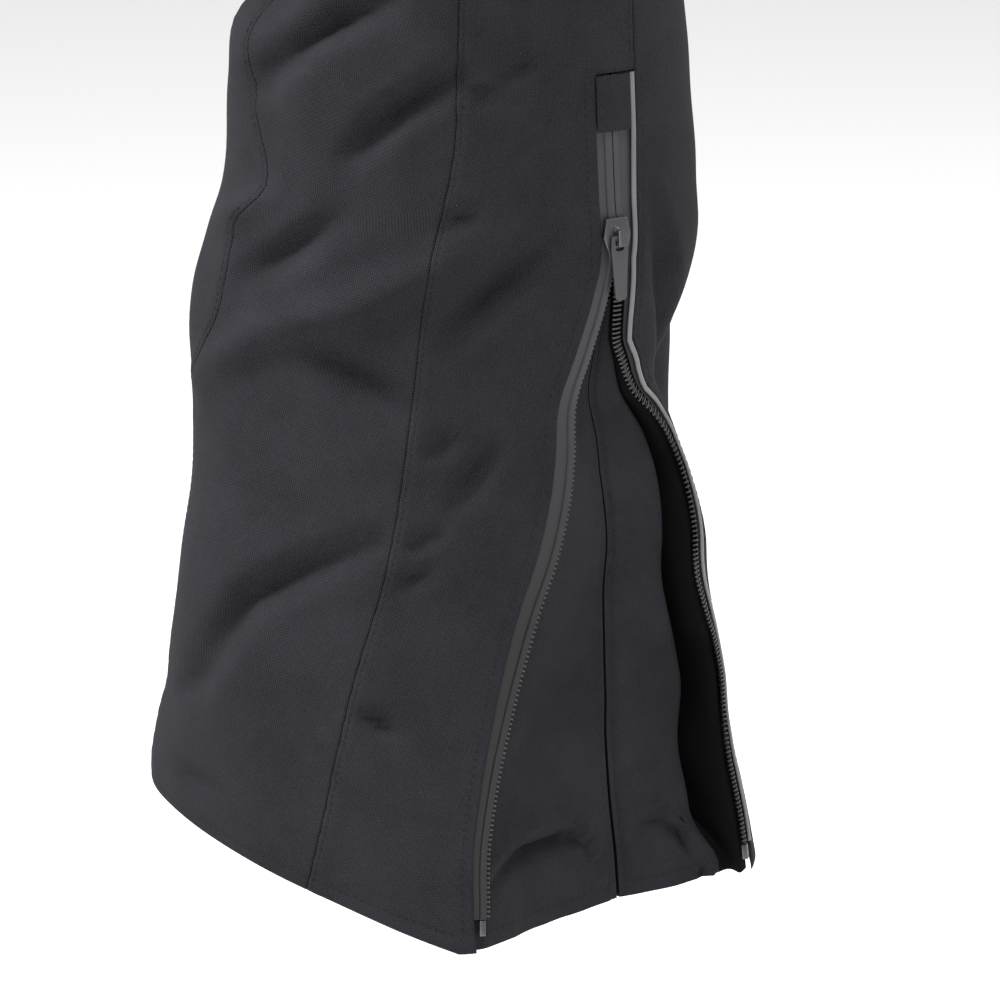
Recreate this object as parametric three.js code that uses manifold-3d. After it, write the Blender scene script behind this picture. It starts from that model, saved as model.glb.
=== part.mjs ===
// Chainsaw chaps: two padded leg tubes hung from a webbing belt, open at the seat.
// Each leg is a shell of sewn panels over a cut-resistant pad and a lining, and its outer side
// opens at the ankle with a zip over a folded gusset, so that it goes over a boot.
// The left leg's zip is open and the right leg's is closed.
// Millimetres, +Z up, +X the wearer's left, +Y the wearer's back. The origin is the middle of the belt.
import * as THREE from "three";
import { mergeVertices } from "three/addons/utils/BufferGeometryUtils.js";
import Module from "manifold-3d";

const wasm = await Module();
wasm.setup();

// ---- Driving dimensions ---------------------------------------------------------------------

const OUTSIDE_LEG = 990; // hem to the top edge at the hip
const FRONT_RISE = 230; // crotch to the top edge at the hip
const INSIDE_LEG = OUTSIDE_LEG - FRONT_RISE;
const WAIST_HALF_WIDTH = 165;
const WAIST_HALF_DEPTH = 115;
const SPACING_HEM = 105; // wearer's middle to a leg's centreline, at the hem
const SPACING_CROTCH = 93; // the same at the crotch
const TOE_OUT = 6; // degrees each leg turns outwards

const SHELL = 1.2; // outer cloth
const PAD = 5; // cut-resistant layers
const LINING = 0.8;
const GUSSET = 0.8;
const TAPE = 0.6; // zip tape
const PLY_GAP = 0.4; // between one layer and the next
const SEAM_GAP = 0.3; // between neighbouring panels

const HEM_BAND = 14; // facing inside the hem, where the zip starts too
const ZIP_TOP = 364; // top of the zip slot
const CHAIN_ANGLE = 39.2; // degrees round the leg where the closed zip runs
const CHAIN_GAP = 2; // between the two rows of teeth
const TEETH_WIDTH = 2.4;
const TEETH_THICK = 2.4;
const TAPE_TUCK = 6; // how far the tape runs on under the panels
const PIPING = 2.4;
const GARAGE = 24; // length of the cover over the chain's top end

const SLIDER_LENGTH = 16;
const SLIDER_HALF_WIDTH = 6.2;
const SLIDER_PLATE = 1.2;
const PULLER_LENGTH = 27;
const PULLER_THICK = 1.4;

const BELT_WIDTH = 40;
const BELT_THICK = 2.5;
const BELT_DOWN = 10; // top edge at the hip to the belt
const BELT_TOP = OUTSIDE_LEG - BELT_DOWN;
const BELT_MIDDLE = BELT_TOP - BELT_WIDTH / 2;
const BELT_CLEAR = 0.8; // cloth to belt
const BELT_LOOP_WIDTH = 20;
const BINDING = 5; // height of the binding on the top edge
const BINDING_GAP = 1.6; // cut edges to the binding

// ---- Shape of a leg -------------------------------------------------------------------------

const rad = THREE.MathUtils.degToRad;
const lerp = THREE.MathUtils.lerp;
const clamp = THREE.MathUtils.clamp;
const ease = (low, high, x) => THREE.MathUtils.smoothstep(x, low, high);

// A smooth curve through [x, value] stations, level beyond its ends.
function through(stations) {
  return (x) => {
    const last = stations.length - 1;
    if (x <= stations[0][0]) return stations[0][1];
    if (x >= stations[last][0]) return stations[last][1];
    const i = stations.findIndex((s) => s[0] > x) - 1;
    const slope = (a, b) => (stations[b][1] - stations[a][1]) / (stations[b][0] - stations[a][0]);
    const [x0, v0] = stations[i];
    const [x1, v1] = stations[i + 1];
    const m0 = slope(Math.max(i - 1, 0), i + 1);
    const m1 = slope(i, Math.min(i + 2, last));
    const h = x1 - x0;
    const t = (x - x0) / h;
    return (
      v0 * (2 * t ** 3 - 3 * t ** 2 + 1) +
      v1 * (3 * t ** 2 - 2 * t ** 3) +
      h * m0 * (t ** 3 - 2 * t ** 2 + t) +
      h * m1 * (t ** 3 - t ** 2)
    );
  };
}

// How far the cloth reaches from the leg's centreline at each height: with the zip open...
const OPEN_REACH = {
  front: through([[0, 127], [30, 126], [73, 123], [95, 117], [138, 112], [182, 105], [226, 103.5],
    [269, 102], [291, 96], [313, 90], [357, 87], [379, 84], [400, 68], [425, 74], [480, 95], [600, 101],
    [760, 108], [990, 112]]),
  back: through([[0, 136], [29, 132], [73, 123], [95, 121], [138, 113], [160, 112], [182, 106], [204, 98],
    [226, 91], [248, 98], [269, 105], [291, 109], [313, 107], [357, 104], [400, 102], [600, 101],
    [760, 112], [990, 112]]),
  outer: through([[0, 80], [60, 72], [120, 66], [200, 62], [300, 60], [400, 62], [480, 66], [600, 74],
    [760, 84], [990, 84]]),
  inner: through([[0, 64], [120, 58], [300, 57], [480, 63], [600, 72], [760, 88], [990, 88]]),
};
// ...and with it closed, which draws the lower leg in to straight lines.
const CALF = 345;
const drawnIn = (side, hem) => (height) =>
  height < CALF ? lerp(hem, OPEN_REACH[side](CALF), Math.max(0, height) / CALF) : OPEN_REACH[side](height);
const CLOSED_REACH = {
  front: drawnIn("front", 96),
  back: drawnIn("back", 96),
  outer: drawnIn("outer", 59),
  inner: drawnIn("inner", 55),
};

// How far the hem rises and the top edge falls, by angle round the leg: 0 is the outer side,
// 90 the back, 180 the inner side and -90 the front.
const HEM_RISE_FRONT = 50;
const HEM_RISE_BACK = 5;
const HEM_RISE_INNER = 12;
const HEM_FADE = 110;
const TOP_FADE = OUTSIDE_LEG - 490;
const topDrop = through([[-180, 1], [-150, 0.86], [-120, 0.42], [-92, 0.04], [-60, 0], [40, 0],
  [62, 0.28], [90, 0.86], [130, 0.98], [180, 1]]);
const waistAngle = through([[-180, -112], [-135, -86], [-90, -62], [0, 0], [60, 42], [90, 60], [180, 112]]);

function hemRise(angle) {
  const side = Math.sin(rad(angle));
  const inner = (1 - Math.cos(rad(angle))) / 2;
  return HEM_RISE_FRONT * Math.max(0, -side) + HEM_RISE_BACK * Math.max(0, side) + HEM_RISE_INNER * inner;
}

// The height of a row at an angle. Rows are level, except where the hem and the top edge bend them.
function rowHeight(angle, row) {
  const hem = hemRise(angle) * Math.max(0, 1 - row / HEM_FADE);
  const top = (OUTSIDE_LEG - INSIDE_LEG) * topDrop(angle) * ease(TOP_FADE, OUTSIDE_LEG, row);
  return row + hem - top;
}

// The outside of the left leg. From the crotch up it draws in to the oval of the waist.
const skinOf = (reach) => (theta, row) => {
  const angle = THREE.MathUtils.euclideanModulo(theta + 180, 360) - 180;
  const height = rowHeight(angle, row);
  const s = Math.sin(rad(angle));
  const c = Math.cos(rad(angle));
  const back = (s > 0 ? reach.back(height) : reach.front(height)) * s;
  const out = (c > 0 ? reach.outer(height) : reach.inner(height)) * c;
  const spacing = lerp(SPACING_HEM, SPACING_CROTCH, clamp(height / INSIDE_LEG, 0, 1));
  const x = spacing + out * Math.cos(rad(TOE_OUT)) - back * Math.sin(rad(TOE_OUT));
  const y = out * Math.sin(rad(TOE_OUT)) + back * Math.cos(rad(TOE_OUT));
  const round = rad(waistAngle(angle));
  const gathered = ease(INSIDE_LEG, BELT_TOP - BELT_WIDTH - 42, height);
  return new THREE.Vector3(
    lerp(x, WAIST_HALF_WIDTH * Math.cos(round), gathered),
    lerp(y, WAIST_HALF_DEPTH * Math.sin(round), gathered),
    height,
  );
};

// The outward normal of a surface at(s, t), by differences.
function normalOf(at, s, t) {
  const d = 1e-3;
  const across = at(s + d, t).sub(at(s - d, t));
  const up = at(s, t + d).sub(at(s, t - d));
  return across.cross(up).normalize();
}

// ---- Solids ---------------------------------------------------------------------------------

// A closed solid from two facing grids of points, both indexed [column][row].
function solidBetween(outer, inner) {
  const columns = outer.length;
  const rows = outer[0].length;
  const points = [outer, inner].flatMap((grid) => grid.flat());
  const at = (face, i, j) => face * columns * rows + i * rows + j;
  const index = [];
  const quad = (a, b, c, d) => index.push(a, b, c, a, c, d);
  for (let i = 0; i + 1 < columns; i++)
    for (let j = 0; j + 1 < rows; j++) {
      quad(at(0, i, j), at(0, i + 1, j), at(0, i + 1, j + 1), at(0, i, j + 1));
      quad(at(1, i, j), at(1, i, j + 1), at(1, i + 1, j + 1), at(1, i + 1, j));
    }
  const right = columns - 1;
  const top = rows - 1;
  for (let i = 0; i + 1 < columns; i++) {
    quad(at(0, i, 0), at(1, i, 0), at(1, i + 1, 0), at(0, i + 1, 0));
    quad(at(0, i, top), at(0, i + 1, top), at(1, i + 1, top), at(1, i, top));
  }
  for (let j = 0; j + 1 < rows; j++) {
    quad(at(0, 0, j), at(0, 0, j + 1), at(1, 0, j + 1), at(1, 0, j));
    quad(at(0, right, j), at(1, right, j), at(1, right, j + 1), at(0, right, j + 1));
  }
  return new THREE.BufferGeometry().setFromPoints(points).setIndex(index);
}

function toManifold(geometry) {
  const plain = geometry.clone();
  plain.deleteAttribute("normal");
  plain.deleteAttribute("uv");
  const merged = mergeVertices(plain, 1e-4);
  return new wasm.Manifold(
    new wasm.Mesh({
      numProp: 3,
      vertProperties: merged.attributes.position.array,
      triVerts: new Uint32Array(merged.index.array),
    }),
  );
}

function toGeometry(solid) {
  const mesh = solid.getMesh();
  return new THREE.BufferGeometry()
    .setAttribute("position", new THREE.Float32BufferAttribute(mesh.vertProperties, 3))
    .setIndex(new THREE.BufferAttribute(mesh.triVerts, 1));
}

const joined = (...parts) => toGeometry(parts.map(toManifold).reduce((a, b) => a.add(b)));
const cut = (body, ...tools) =>
  toGeometry(tools.map(toManifold).reduce((a, b) => a.subtract(b), toManifold(body)));

// A box given by its low and high corners.
function block([x0, y0, z0], [x1, y1, z1]) {
  const middle = [(x0 + x1) / 2, (y0 + y1) / 2, (z0 + z1) / 2];
  return new THREE.BoxGeometry(x1 - x0, y1 - y0, z1 - z0).translate(...middle);
}

// A plate of an outline in the XY plane, from one Z to another.
function plate(outline, low, high) {
  const shape = new THREE.Shape(outline.map(([x, y]) => new THREE.Vector2(x, y)));
  return new THREE.ExtrudeGeometry(shape, { depth: high - low, bevelEnabled: false }).translate(0, 0, low);
}

// A rod along Z.
function rod(radius, x, y, low, high) {
  return new THREE.CylinderGeometry(radius, radius, high - low, 24)
    .rotateX(Math.PI / 2)
    .translate(x, y, (low + high) / 2);
}

// A band of webbing whose middle follows a path in the XY plane, standing on edge.
function band(path, thick, low, high) {
  const side = (sign) =>
    path.map((p, i) => {
      const before = path[Math.max(i - 1, 0)];
      const after = path[Math.min(i + 1, path.length - 1)];
      const along = new THREE.Vector2(after[0] - before[0], after[1] - before[1]).normalize();
      return [p[0] - (sign * along.y * thick) / 2, p[1] + (sign * along.x * thick) / 2];
    });
  return plate([...side(-1), ...side(1).reverse()], low, high);
}

// The same solid for the other side of the wearer.
function mirrored(geometry) {
  const flipped = geometry.index ? geometry.toNonIndexed() : geometry.clone();
  flipped.deleteAttribute("normal");
  flipped.scale(-1, 1, 1);
  const p = flipped.attributes.position.array;
  for (let i = 0; i < p.length; i += 9)
    for (let k = 0; k < 3; k++) [p[i + k], p[i + 3 + k]] = [p[i + 3 + k], p[i + k]];
  return flipped;
}

// ---- Finishes -------------------------------------------------------------------------------

const finish = (color, roughness, metalness = 0) =>
  new THREE.MeshStandardMaterial({ color, roughness, metalness });
const CLOTH = finish(0x37363b, 0.85);
const GUSSET_CLOTH = finish(0x2d2c31, 0.7);
const LINING_CLOTH = finish(0x1d1d20, 0.9);
const PAD_CLOTH = finish(0x8f8d86, 0.95);
const ZIP_FILM = finish(0x4a494d, 0.45);
const ZIP_TEETH = finish(0x19191b, 0.4);
const PIPING_TRIM = finish(0x7b7b7d, 0.5);
const SLIDER_METAL = finish(0x5f5e62, 0.4, 0.7);
const PULL_TAB = finish(0x4b4a4e, 0.55);
const WEBBING = finish(0x1f1f22, 0.9);
const BUCKLE_METAL = finish(0x38383b, 0.4, 0.8);

// ---- One leg --------------------------------------------------------------------------------

// Rows of points up the leg. The chain is straight between the two rows round the slider.
const SLIDER_FROM = 284;
const KNEE = 400;
const HIP = OUTSIDE_LEG - 270;
const ROWS = [0, HEM_BAND, 55, 95, 135, 175, 208, 232, 255, SLIDER_FROM, ZIP_TOP - GARAGE, ZIP_TOP - 0.5,
  ZIP_TOP + 0.5, KNEE, lerp(KNEE, HIP, 0.21875), lerp(KNEE, HIP, 0.625), HIP, HIP + 70, HIP + 130, HIP + 180,
  HIP + 225, OUTSIDE_LEG];
const upFrom = (start, stop = Infinity) => ROWS.filter((row) => row >= start && row <= stop);

const padDepth = SHELL + PLY_GAP;
const liningDepth = padDepth + PAD + PLY_GAP;
const tapeDepth = SHELL + PLY_GAP;
const teethDepth = tapeDepth + TAPE / 2 - TEETH_THICK / 2;
const gussetDepth = tapeDepth + TAPE + PLY_GAP;
const halfGap = CHAIN_GAP / 2;
const teethFar = halfGap + TEETH_WIDTH;
const gussetEdge = SLIDER_HALF_WIDTH + 0.8; // chain to the gusset's seam
const tapeNear = teethFar + 0.6;

// Seam lines, as degrees round the leg by row.
const seamMiddle = through([[0, -30], [55, -25.6], [106, -22.4], [157, -15.6], [225, -10], [287, -6],
  [345, 0.5], [600, 0], [990, -8]]);
const seamFront = through([[0, -97], [160, -92], [225, -85], [263, -66], [298, -66], [316, -57],
  [336, -61], [365, -71], [600, -84], [990, -80]]);
const INSEAM = 172;
const zipOpenFront = through([[0, 5], [HEM_BAND, 5.2], [47, 6], [98, 11.2], [139, 18], [202, 31],
  [236, 36], [SLIDER_FROM, CHAIN_ANGLE]]);
const zipOpenBack = through([[0, 75], [27, 77.5], [57, 79], [80, 85], [108, 85], [120, 80], [139, 74],
  [155, 71.5], [185, 78], [200, 77.5], [214, 71], [226, 60], [239, 50.7], [251, 44.3],
  [SLIDER_FROM, CHAIN_ANGLE]]);
const tapeShown = through([[0, 4.6], [HEM_BAND, 6], [67, 6.5], [143, 8.5], [212, 8.5], [SLIDER_FROM, 7.2]]);
const slotBack = through([[0, 6.8], [215, 7.2], [SLIDER_FROM, SLIDER_HALF_WIDTH + 3.6],
  [ZIP_TOP - GARAGE, SLIDER_HALF_WIDTH + 6.3]]);

// Where the open gusset's seam lies between the two zip lines, as a share.
const gussetSeam = through([[0, 0.575], [60, 0.563], [110, 0.53], [150, 0.49], [192, 0.41]]);

function makeLeg(open) {
  const skin = skinOf(open ? OPEN_REACH : CLOSED_REACH);
  const under = (theta, row, depth) => skin(theta, row).addScaledVector(normalOf(skin, theta, row), -depth);

  // The line that runs some millimetres further round the leg than another, measured square to it.
  const beside = (line, distance) => (row) => {
    const theta = line(row);
    const perDegree = skin(theta + 0.5, row).distanceTo(skin(theta - 0.5, row));
    const lean = ((line(row + 0.4) - line(row - 0.4)) / 0.8) * perDegree;
    return theta + (distance * Math.hypot(1, lean)) / perDegree;
  };
  const between = (from, to, count) =>
    Array.from({ length: count - 1 }, (_, i) => (row) => lerp(from(row), to(row), (i + 1) / count));
  const onward = (line) => (row) => line(row) + 360;

  const chain = () => CHAIN_ANGLE;
  const zipFront = open ? zipOpenFront : chain;
  const zipBack = open ? zipOpenBack : chain;
  const frontGap = open ? tapeShown : () => tapeShown(SLIDER_FROM);
  const backGap = open ? slotBack : () => slotBack(SLIDER_FROM);
  const backEdge = (row) => beside(zipBack, row > SLIDER_FROM ? slotBack(row) : backGap(row))(row);
  const sideEdge = onward((row) =>
    row < ZIP_TOP ? beside(zipFront, -frontGap(row))(row) : backEdge(row),
  );
  const inseam = () => INSEAM;
  const front = onward(seamFront);
  const middle = onward(seamMiddle);
  const backInset = beside(backEdge, TAPE_TUCK);
  const sideInset = beside(sideEdge, -TAPE_TUCK);

  // Every layer shares the same lines round the leg, so that the layers nest.
  const backLines = [backEdge, backInset, ...between(backInset, inseam, 4), inseam];
  const innerLines = [inseam, ...between(inseam, front, 5), front];
  const frontLines = [front, ...between(front, middle, 4), middle];
  const sideLines = [middle, ...between(middle, sideInset, 3), sideInset, sideEdge];

  function layer(lines, rows, depth, thick) {
    const grid = (d) => lines.map((line) => rows.map((row) => under(line(row), row, d)));
    return solidBetween(grid(depth), grid(depth + thick));
  }
  function panel(lines) {
    const inner = lines.slice(1, -1);
    const [first, last] = [beside(lines[0], SEAM_GAP / 2), beside(lines.at(-1), -SEAM_GAP / 2)];
    return layer([first, ...inner, last], ROWS, 0, SHELL);
  }
  function strip(line, near, far, rows, depth, thick) {
    return layer([beside(line, Math.min(near, far)), beside(line, Math.max(near, far))], rows, depth, thick);
  }

  const liningLines = [...backLines.slice(1, -1), ...innerLines.slice(0, -1), ...frontLines.slice(0, -1),
    ...sideLines.slice(0, -1)];
  const padLines = [...innerLines.slice(2, -1), ...frontLines];

  // The binding caps the top edge all round.
  function topBinding() {
    const lines = [...backLines.slice(0, -1), ...innerLines.slice(0, -1), ...frontLines.slice(0, -1),
      ...sideLines.slice(0, -1)];
    const ring = lines.flatMap((line) => {
      const theta = line(OUTSIDE_LEG);
      const outer = under(theta, OUTSIDE_LEG, 0);
      const inner = under(theta, OUTSIDE_LEG, liningDepth + LINING);
      const raised = (p, lift) => new THREE.Vector3(p.x, p.y, p.z + lift);
      const top = BINDING_GAP + BINDING;
      return [raised(outer, BINDING_GAP), raised(outer, top), raised(inner, top), raised(inner, BINDING_GAP)];
    });
    const index = [];
    for (let i = 0; i < ring.length; i += 4)
      for (let k = 0; k < 4; k++) {
        const next = (i + 4) % ring.length;
        const a = i + k;
        const b = i + ((k + 1) % 4);
        const c = next + ((k + 1) % 4);
        const d = next + k;
        index.push(a, d, b, b, d, c);
      }
    return new THREE.BufferGeometry().setFromPoints(ring).setIndex(index);
  }

  const zipRows = upFrom(HEM_BAND, ZIP_TOP - 0.5);
  const frontTapeLines = [sideInset, sideEdge, beside(onward(zipFront), -tapeNear)];
  const backTapeLines = [beside(zipBack, tapeNear), backEdge, backInset];
  const teeth = (line, near, far, rows) => strip(line, near, far, rows, teethDepth, TEETH_THICK);
  const pipingLine = beside(backEdge, -SEAM_GAP);
  const stopRows = [HEM_BAND - 7, HEM_BAND - 0.3];
  const garageRows = [ZIP_TOP - GARAGE, ZIP_TOP - 0.8];
  const garageFront = -tapeShown(SLIDER_FROM) + SEAM_GAP;
  const garageBack = slotBack(ZIP_TOP) - PIPING - 3 * SEAM_GAP;

  // Points across the gusset at a row: both edges, the seam between its halves, and its folds.
  const GUSSET_ROWS = [1, HEM_BAND, 55, 95, 135, 175, 208, 232, 255, 268];
  function openGusset(row) {
    const fromSeam = under(beside(zipFront, -gussetEdge)(row), row, gussetDepth + 0.4);
    const toSeam = under(beside(zipBack, gussetEdge)(row), row, gussetDepth + 0.4);
    const from = under(beside(zipFront, -halfGap)(row), row, gussetDepth + 2.2);
    const to = under(beside(zipBack, halfGap)(row), row, gussetDepth + 2.2);
    const across = to.clone().sub(from);
    const inwards = new THREE.Vector3(-across.y, across.x, 0).normalize();
    const at = (share, depth) =>
      from.clone().addScaledVector(across, share).addScaledVector(inwards, depth * across.length());
    const folded = ease(0, 55, row);
    const seam = gussetSeam(row);
    return {
      front: [fromSeam, from, at(seam / 2, 0.05), at(seam, 0.08)],
      back: [at(seam + 0.005, 0.08), at((seam + 0.86) / 2, 0.05), at(0.86, 0.05),
        at(0.915, 0.05 + 0.2 * folded), to, toSeam],
    };
  }
  function closedGusset(row) {
    const reach = lerp(62, 22, row / 268);
    const at = (distance, depth) => under(beside(zipFront, distance)(row), row, depth);
    const fold = liningDepth + LINING + 1.6;
    return {
      front: [at(-gussetEdge, gussetDepth), at(-gussetEdge - 2.5, fold - 1.5), at(-gussetEdge - 9, fold),
        at(-reach, fold)],
      back: [at(-reach, fold + 2.6), at(-gussetEdge - 8, fold + 2.8), at(0, fold + 2.2),
        at(gussetEdge - 0.5, fold - 1), at(gussetEdge, gussetDepth)],
    };
  }
  const gussetAt = open ? openGusset : closedGusset;
  function gussetHalf(key, columns) {
    const surface = (s, row) =>
      new THREE.CatmullRomCurve3(gussetAt(row)[key], false, "centripetal").getPoint(clamp(s, 0, 1));
    const grid = (depth) =>
      Array.from({ length: columns + 1 }, (_, i) =>
        GUSSET_ROWS.map((row) => {
          const s = clamp(i / columns, 0.01, 0.99);
          return surface(i / columns, row).addScaledVector(normalOf(surface, s, row), -depth);
        }),
      );
    return solidBetween(grid(0), grid(GUSSET));
  }

  // The slider's frame: X across the chain to the back, Y up it, Z out of the leg.
  const sliderRow = open ? 296 : HEM_BAND + SLIDER_LENGTH / 2 + 6;
  const low = skin(CHAIN_ANGLE, open ? SLIDER_FROM : HEM_BAND);
  const high = skin(CHAIN_ANGLE, ZIP_TOP - GARAGE);
  const up = high.clone().sub(low).normalize();
  const out = normalOf(skin, CHAIN_ANGLE, sliderRow);
  const across = up.clone().cross(out).normalize();
  const place = new THREE.Matrix4()
    .makeBasis(across, up, across.clone().cross(up))
    .setPosition(low.clone().addScaledVector(up, (sliderRow - low.z) / up.z));

  return {
    place,
    pieces: [
      ["back_panel", panel(backLines), CLOTH],
      ["inner_panel", panel(innerLines), CLOTH],
      ["front_panel", panel(frontLines), CLOTH],
      ["side_panel", panel(sideLines), CLOTH],
      ["cut_resistant_pad", layer(padLines, upFrom(55), padDepth, PAD), PAD_CLOTH],
      ["lining", layer(liningLines, upFrom(55), liningDepth, LINING), LINING_CLOTH],
      ["hem_facing", layer(liningLines, upFrom(0, HEM_BAND), padDepth, LINING), CLOTH],
      ["top_binding", topBinding(), WEBBING],
      ["zip_front_tape", layer(frontTapeLines, zipRows, tapeDepth, TAPE), ZIP_FILM],
      ["zip_back_tape", layer(backTapeLines, zipRows, tapeDepth, TAPE), ZIP_FILM],
      ["zip_front_teeth", teeth(zipFront, -teethFar, -halfGap, zipRows), ZIP_TEETH],
      ["zip_back_teeth", teeth(zipBack, halfGap, teethFar, zipRows), ZIP_TEETH],
      ["zip_front_stop", teeth(zipFront, -teethFar, -halfGap, stopRows), SLIDER_METAL],
      ["zip_back_stop", teeth(zipBack, halfGap, teethFar, stopRows), SLIDER_METAL],
      ["zip_piping", strip(pipingLine, -PIPING, 0, zipRows, -0.4, SHELL), PIPING_TRIM],
      ["zip_garage", strip(chain, garageFront, garageBack, garageRows, -0.4, 0.6), CLOTH],
      ["gusset_front", gussetHalf("front", 5), GUSSET_CLOTH],
      ["gusset_back", gussetHalf("back", 7), GUSSET_CLOTH],
    ],
  };
}

// ---- Slider and puller, in the slider's frame -------------------------------------------------

const half = SLIDER_LENGTH / 2;
const plateLow = -0.4; // under side of the upper plate
const plateTop = plateLow + 0.4 + SLIDER_PLATE;
const lowerTop = -(teethDepth + TEETH_THICK + 0.3);
const tapeTop = -tapeDepth + 0.3;
const tapeBottom = -tapeDepth - TAPE - 0.7;
const BAIL_HALF = 3.4;
const BAIL_THICK = 1.1;
const PULLER_CLEAR = 0.4;
const pivotHeight = plateTop + PULLER_CLEAR + PULLER_THICK / 2;

function sliderSolid() {
  const w = SLIDER_HALF_WIDTH;
  const outline = [[-0.78 * w, half], [-w, 0], [-0.58 * w, -half], [0.58 * w, -half], [w, 0],
    [0.78 * w, half]];
  const upper = plate(outline, plateLow, plateTop);
  const lower = plate(outline, lowerTop - SLIDER_PLATE, lowerTop);
  const post = block([-0.6, -half, lowerTop - 0.2], [0.6, -half + 5, plateLow + 0.2]);
  const flanges = [-1, 1].flatMap((sign) => {
    const wall = [[sign * 0.62 * w, half], [sign * 0.66 * w, 0], [sign * w, 0], [sign * 0.78 * w, half]];
    const turned = sign < 0 ? wall : wall.reverse();
    return [plate(turned, tapeTop, plateLow + 0.2), plate(turned, lowerTop - 0.2, tapeBottom)];
  });
  const crown = pivotHeight + PULLER_THICK / 2 + PULLER_CLEAR;
  const feet = [-1, 1].map((sign) => {
    const near = sign * (BAIL_HALF - BAIL_THICK);
    const far = sign * BAIL_HALF;
    return block([-1.2, Math.min(near, far), plateTop - 0.3], [1.2, Math.max(near, far), crown + 0.2]);
  });
  const bridge = block([-1.2, -BAIL_HALF, crown], [1.2, BAIL_HALF, crown + BAIL_THICK]);
  return joined(upper, lower, post, ...flanges, ...feet, bridge);
}

function pullerSolid() {
  const low = pivotHeight - PULLER_THICK / 2;
  const high = pivotHeight + PULLER_THICK / 2;
  const ringEnd = -5.4;
  const tip = 0.8 - PULLER_LENGTH;
  const outline = [[-3.4, 0.8], [-3.9, ringEnd], [-3.6, ringEnd - 3], [-2.6, tip + 1], [-1.6, tip],
    [1.6, tip], [2.6, tip + 1], [3.6, ringEnd - 3], [3.9, ringEnd], [3.4, 0.8]];
  return cut(plate(outline, low, high), block([-2, ringEnd, low - 1], [2, -0.8, high + 1]));
}

// ---- Belt -----------------------------------------------------------------------------------

// A point on the waist oval, some way outside it.
function waist(degrees, distance) {
  const t = rad(degrees);
  const p = new THREE.Vector2(WAIST_HALF_WIDTH * Math.cos(t), WAIST_HALF_DEPTH * Math.sin(t));
  const n = new THREE.Vector2(WAIST_HALF_DEPTH * Math.cos(t), WAIST_HALF_WIDTH * Math.sin(t)).normalize();
  return p.addScaledVector(n, distance).toArray();
}
const waistArc = (from, to, distance, count) =>
  Array.from({ length: count + 1 }, (_, i) => waist(lerp(from, to, i / count), distance));

const BELT_LOW = BELT_TOP - BELT_WIDTH;
const beltOut = BELT_CLEAR + BELT_THICK / 2;
const BELT_FRONT = -(WAIST_HALF_DEPTH + beltOut);
const LAP = BELT_THICK + 0.5; // from one ply of webbing to the next
const BAR_X = 20;
const BAR_RADIUS = 1.7;
const BAR_Y = BELT_FRONT + BELT_THICK / 2 + 0.4 + BAR_RADIUS;
const TAIL_ANGLE = -63;

// The webbing starts sewn round the buckle's bar, circles the waist and ends in a free tail that
// passes through the buckle and lies over its own start.
function beltSolid() {
  const turn = BAR_Y - BELT_FRONT;
  const hook = Array.from({ length: 9 }, (_, i) => {
    const a = rad(90 + (180 * i) / 8);
    return [BAR_X + turn * Math.cos(a), BAR_Y + turn * Math.sin(a)];
  });
  const sewnEnd = [waist(-77.5, beltOut - LAP), waist(-80, beltOut - LAP - 0.8)];
  const round = waistArc(-82, 262, beltOut, 60);
  const tail = [[-8, BELT_FRONT], [8, BELT_FRONT], [14, BELT_FRONT - LAP],
    ...waistArc(-82, TAIL_ANGLE, beltOut + LAP, 4)];
  return band([...sewnEnd, ...hook, ...round, ...tail], BELT_THICK, BELT_LOW, BELT_TOP);
}

// A loop stands over the belt: sewn to the leg above and below it.
function beltLoop(degrees) {
  const foot = SEAM_GAP;
  const over = BELT_CLEAR + BELT_THICK + 0.5;
  const profile = [
    [foot, BELT_LOW - 9], [foot + SHELL, BELT_LOW - 9], [over + SHELL, BELT_LOW - 1.5],
    [over + SHELL, BELT_TOP + 1.5], [foot + SHELL, BELT_TOP + 7], [foot, BELT_TOP + 7],
    [foot, BELT_TOP + 2.5], [over, BELT_TOP + 0.6], [over, BELT_LOW - 0.6], [foot, BELT_LOW - 3.5],
  ];
  const t = rad(degrees);
  const heading = Math.atan2(WAIST_HALF_WIDTH * Math.sin(t), WAIST_HALF_DEPTH * Math.cos(t));
  const [x, y] = waist(degrees, 0);
  return plate(profile, -BELT_LOOP_WIDTH / 2, BELT_LOOP_WIDTH / 2)
    .rotateX(Math.PI / 2)
    .rotateZ(heading)
    .translate(x, y, 0);
}

// The keeper holds the tail down on the belt.
function keeperSolid() {
  const degrees = -67.1 - 0.18 * BELT_WIDTH; // a wider belt reaches lower, where the legs stand closer
  const wide = 9;
  const inside = BELT_CLEAR - 0.5;
  const outside = beltOut + LAP + BELT_THICK / 2 + 0.6;
  const ring = cut(
    block([inside - 1.2, -wide / 2, BELT_LOW - 1.8], [outside + 1.2, wide / 2, BELT_TOP + 1.8]),
    block([inside, -wide, BELT_LOW - 0.6], [outside, wide, BELT_TOP + 0.6]),
  );
  const t = rad(degrees);
  const heading = Math.atan2(WAIST_HALF_WIDTH * Math.sin(t), WAIST_HALF_DEPTH * Math.cos(t));
  const [x, y] = waist(degrees, 0);
  return ring.rotateZ(heading).translate(x, y, 0);
}

// ---- Cam buckle -----------------------------------------------------------------------------

const EAR = 2;
const EAR_GAP = 1; // webbing edge to ear
const PIVOT_X = -4;
const PIVOT_Y = BELT_FRONT - 7;
const PIN_RADIUS = 1.5;
const HUB_RADIUS = 3.9;
const earNear = BELT_WIDTH / 2 + EAR_GAP;

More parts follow.
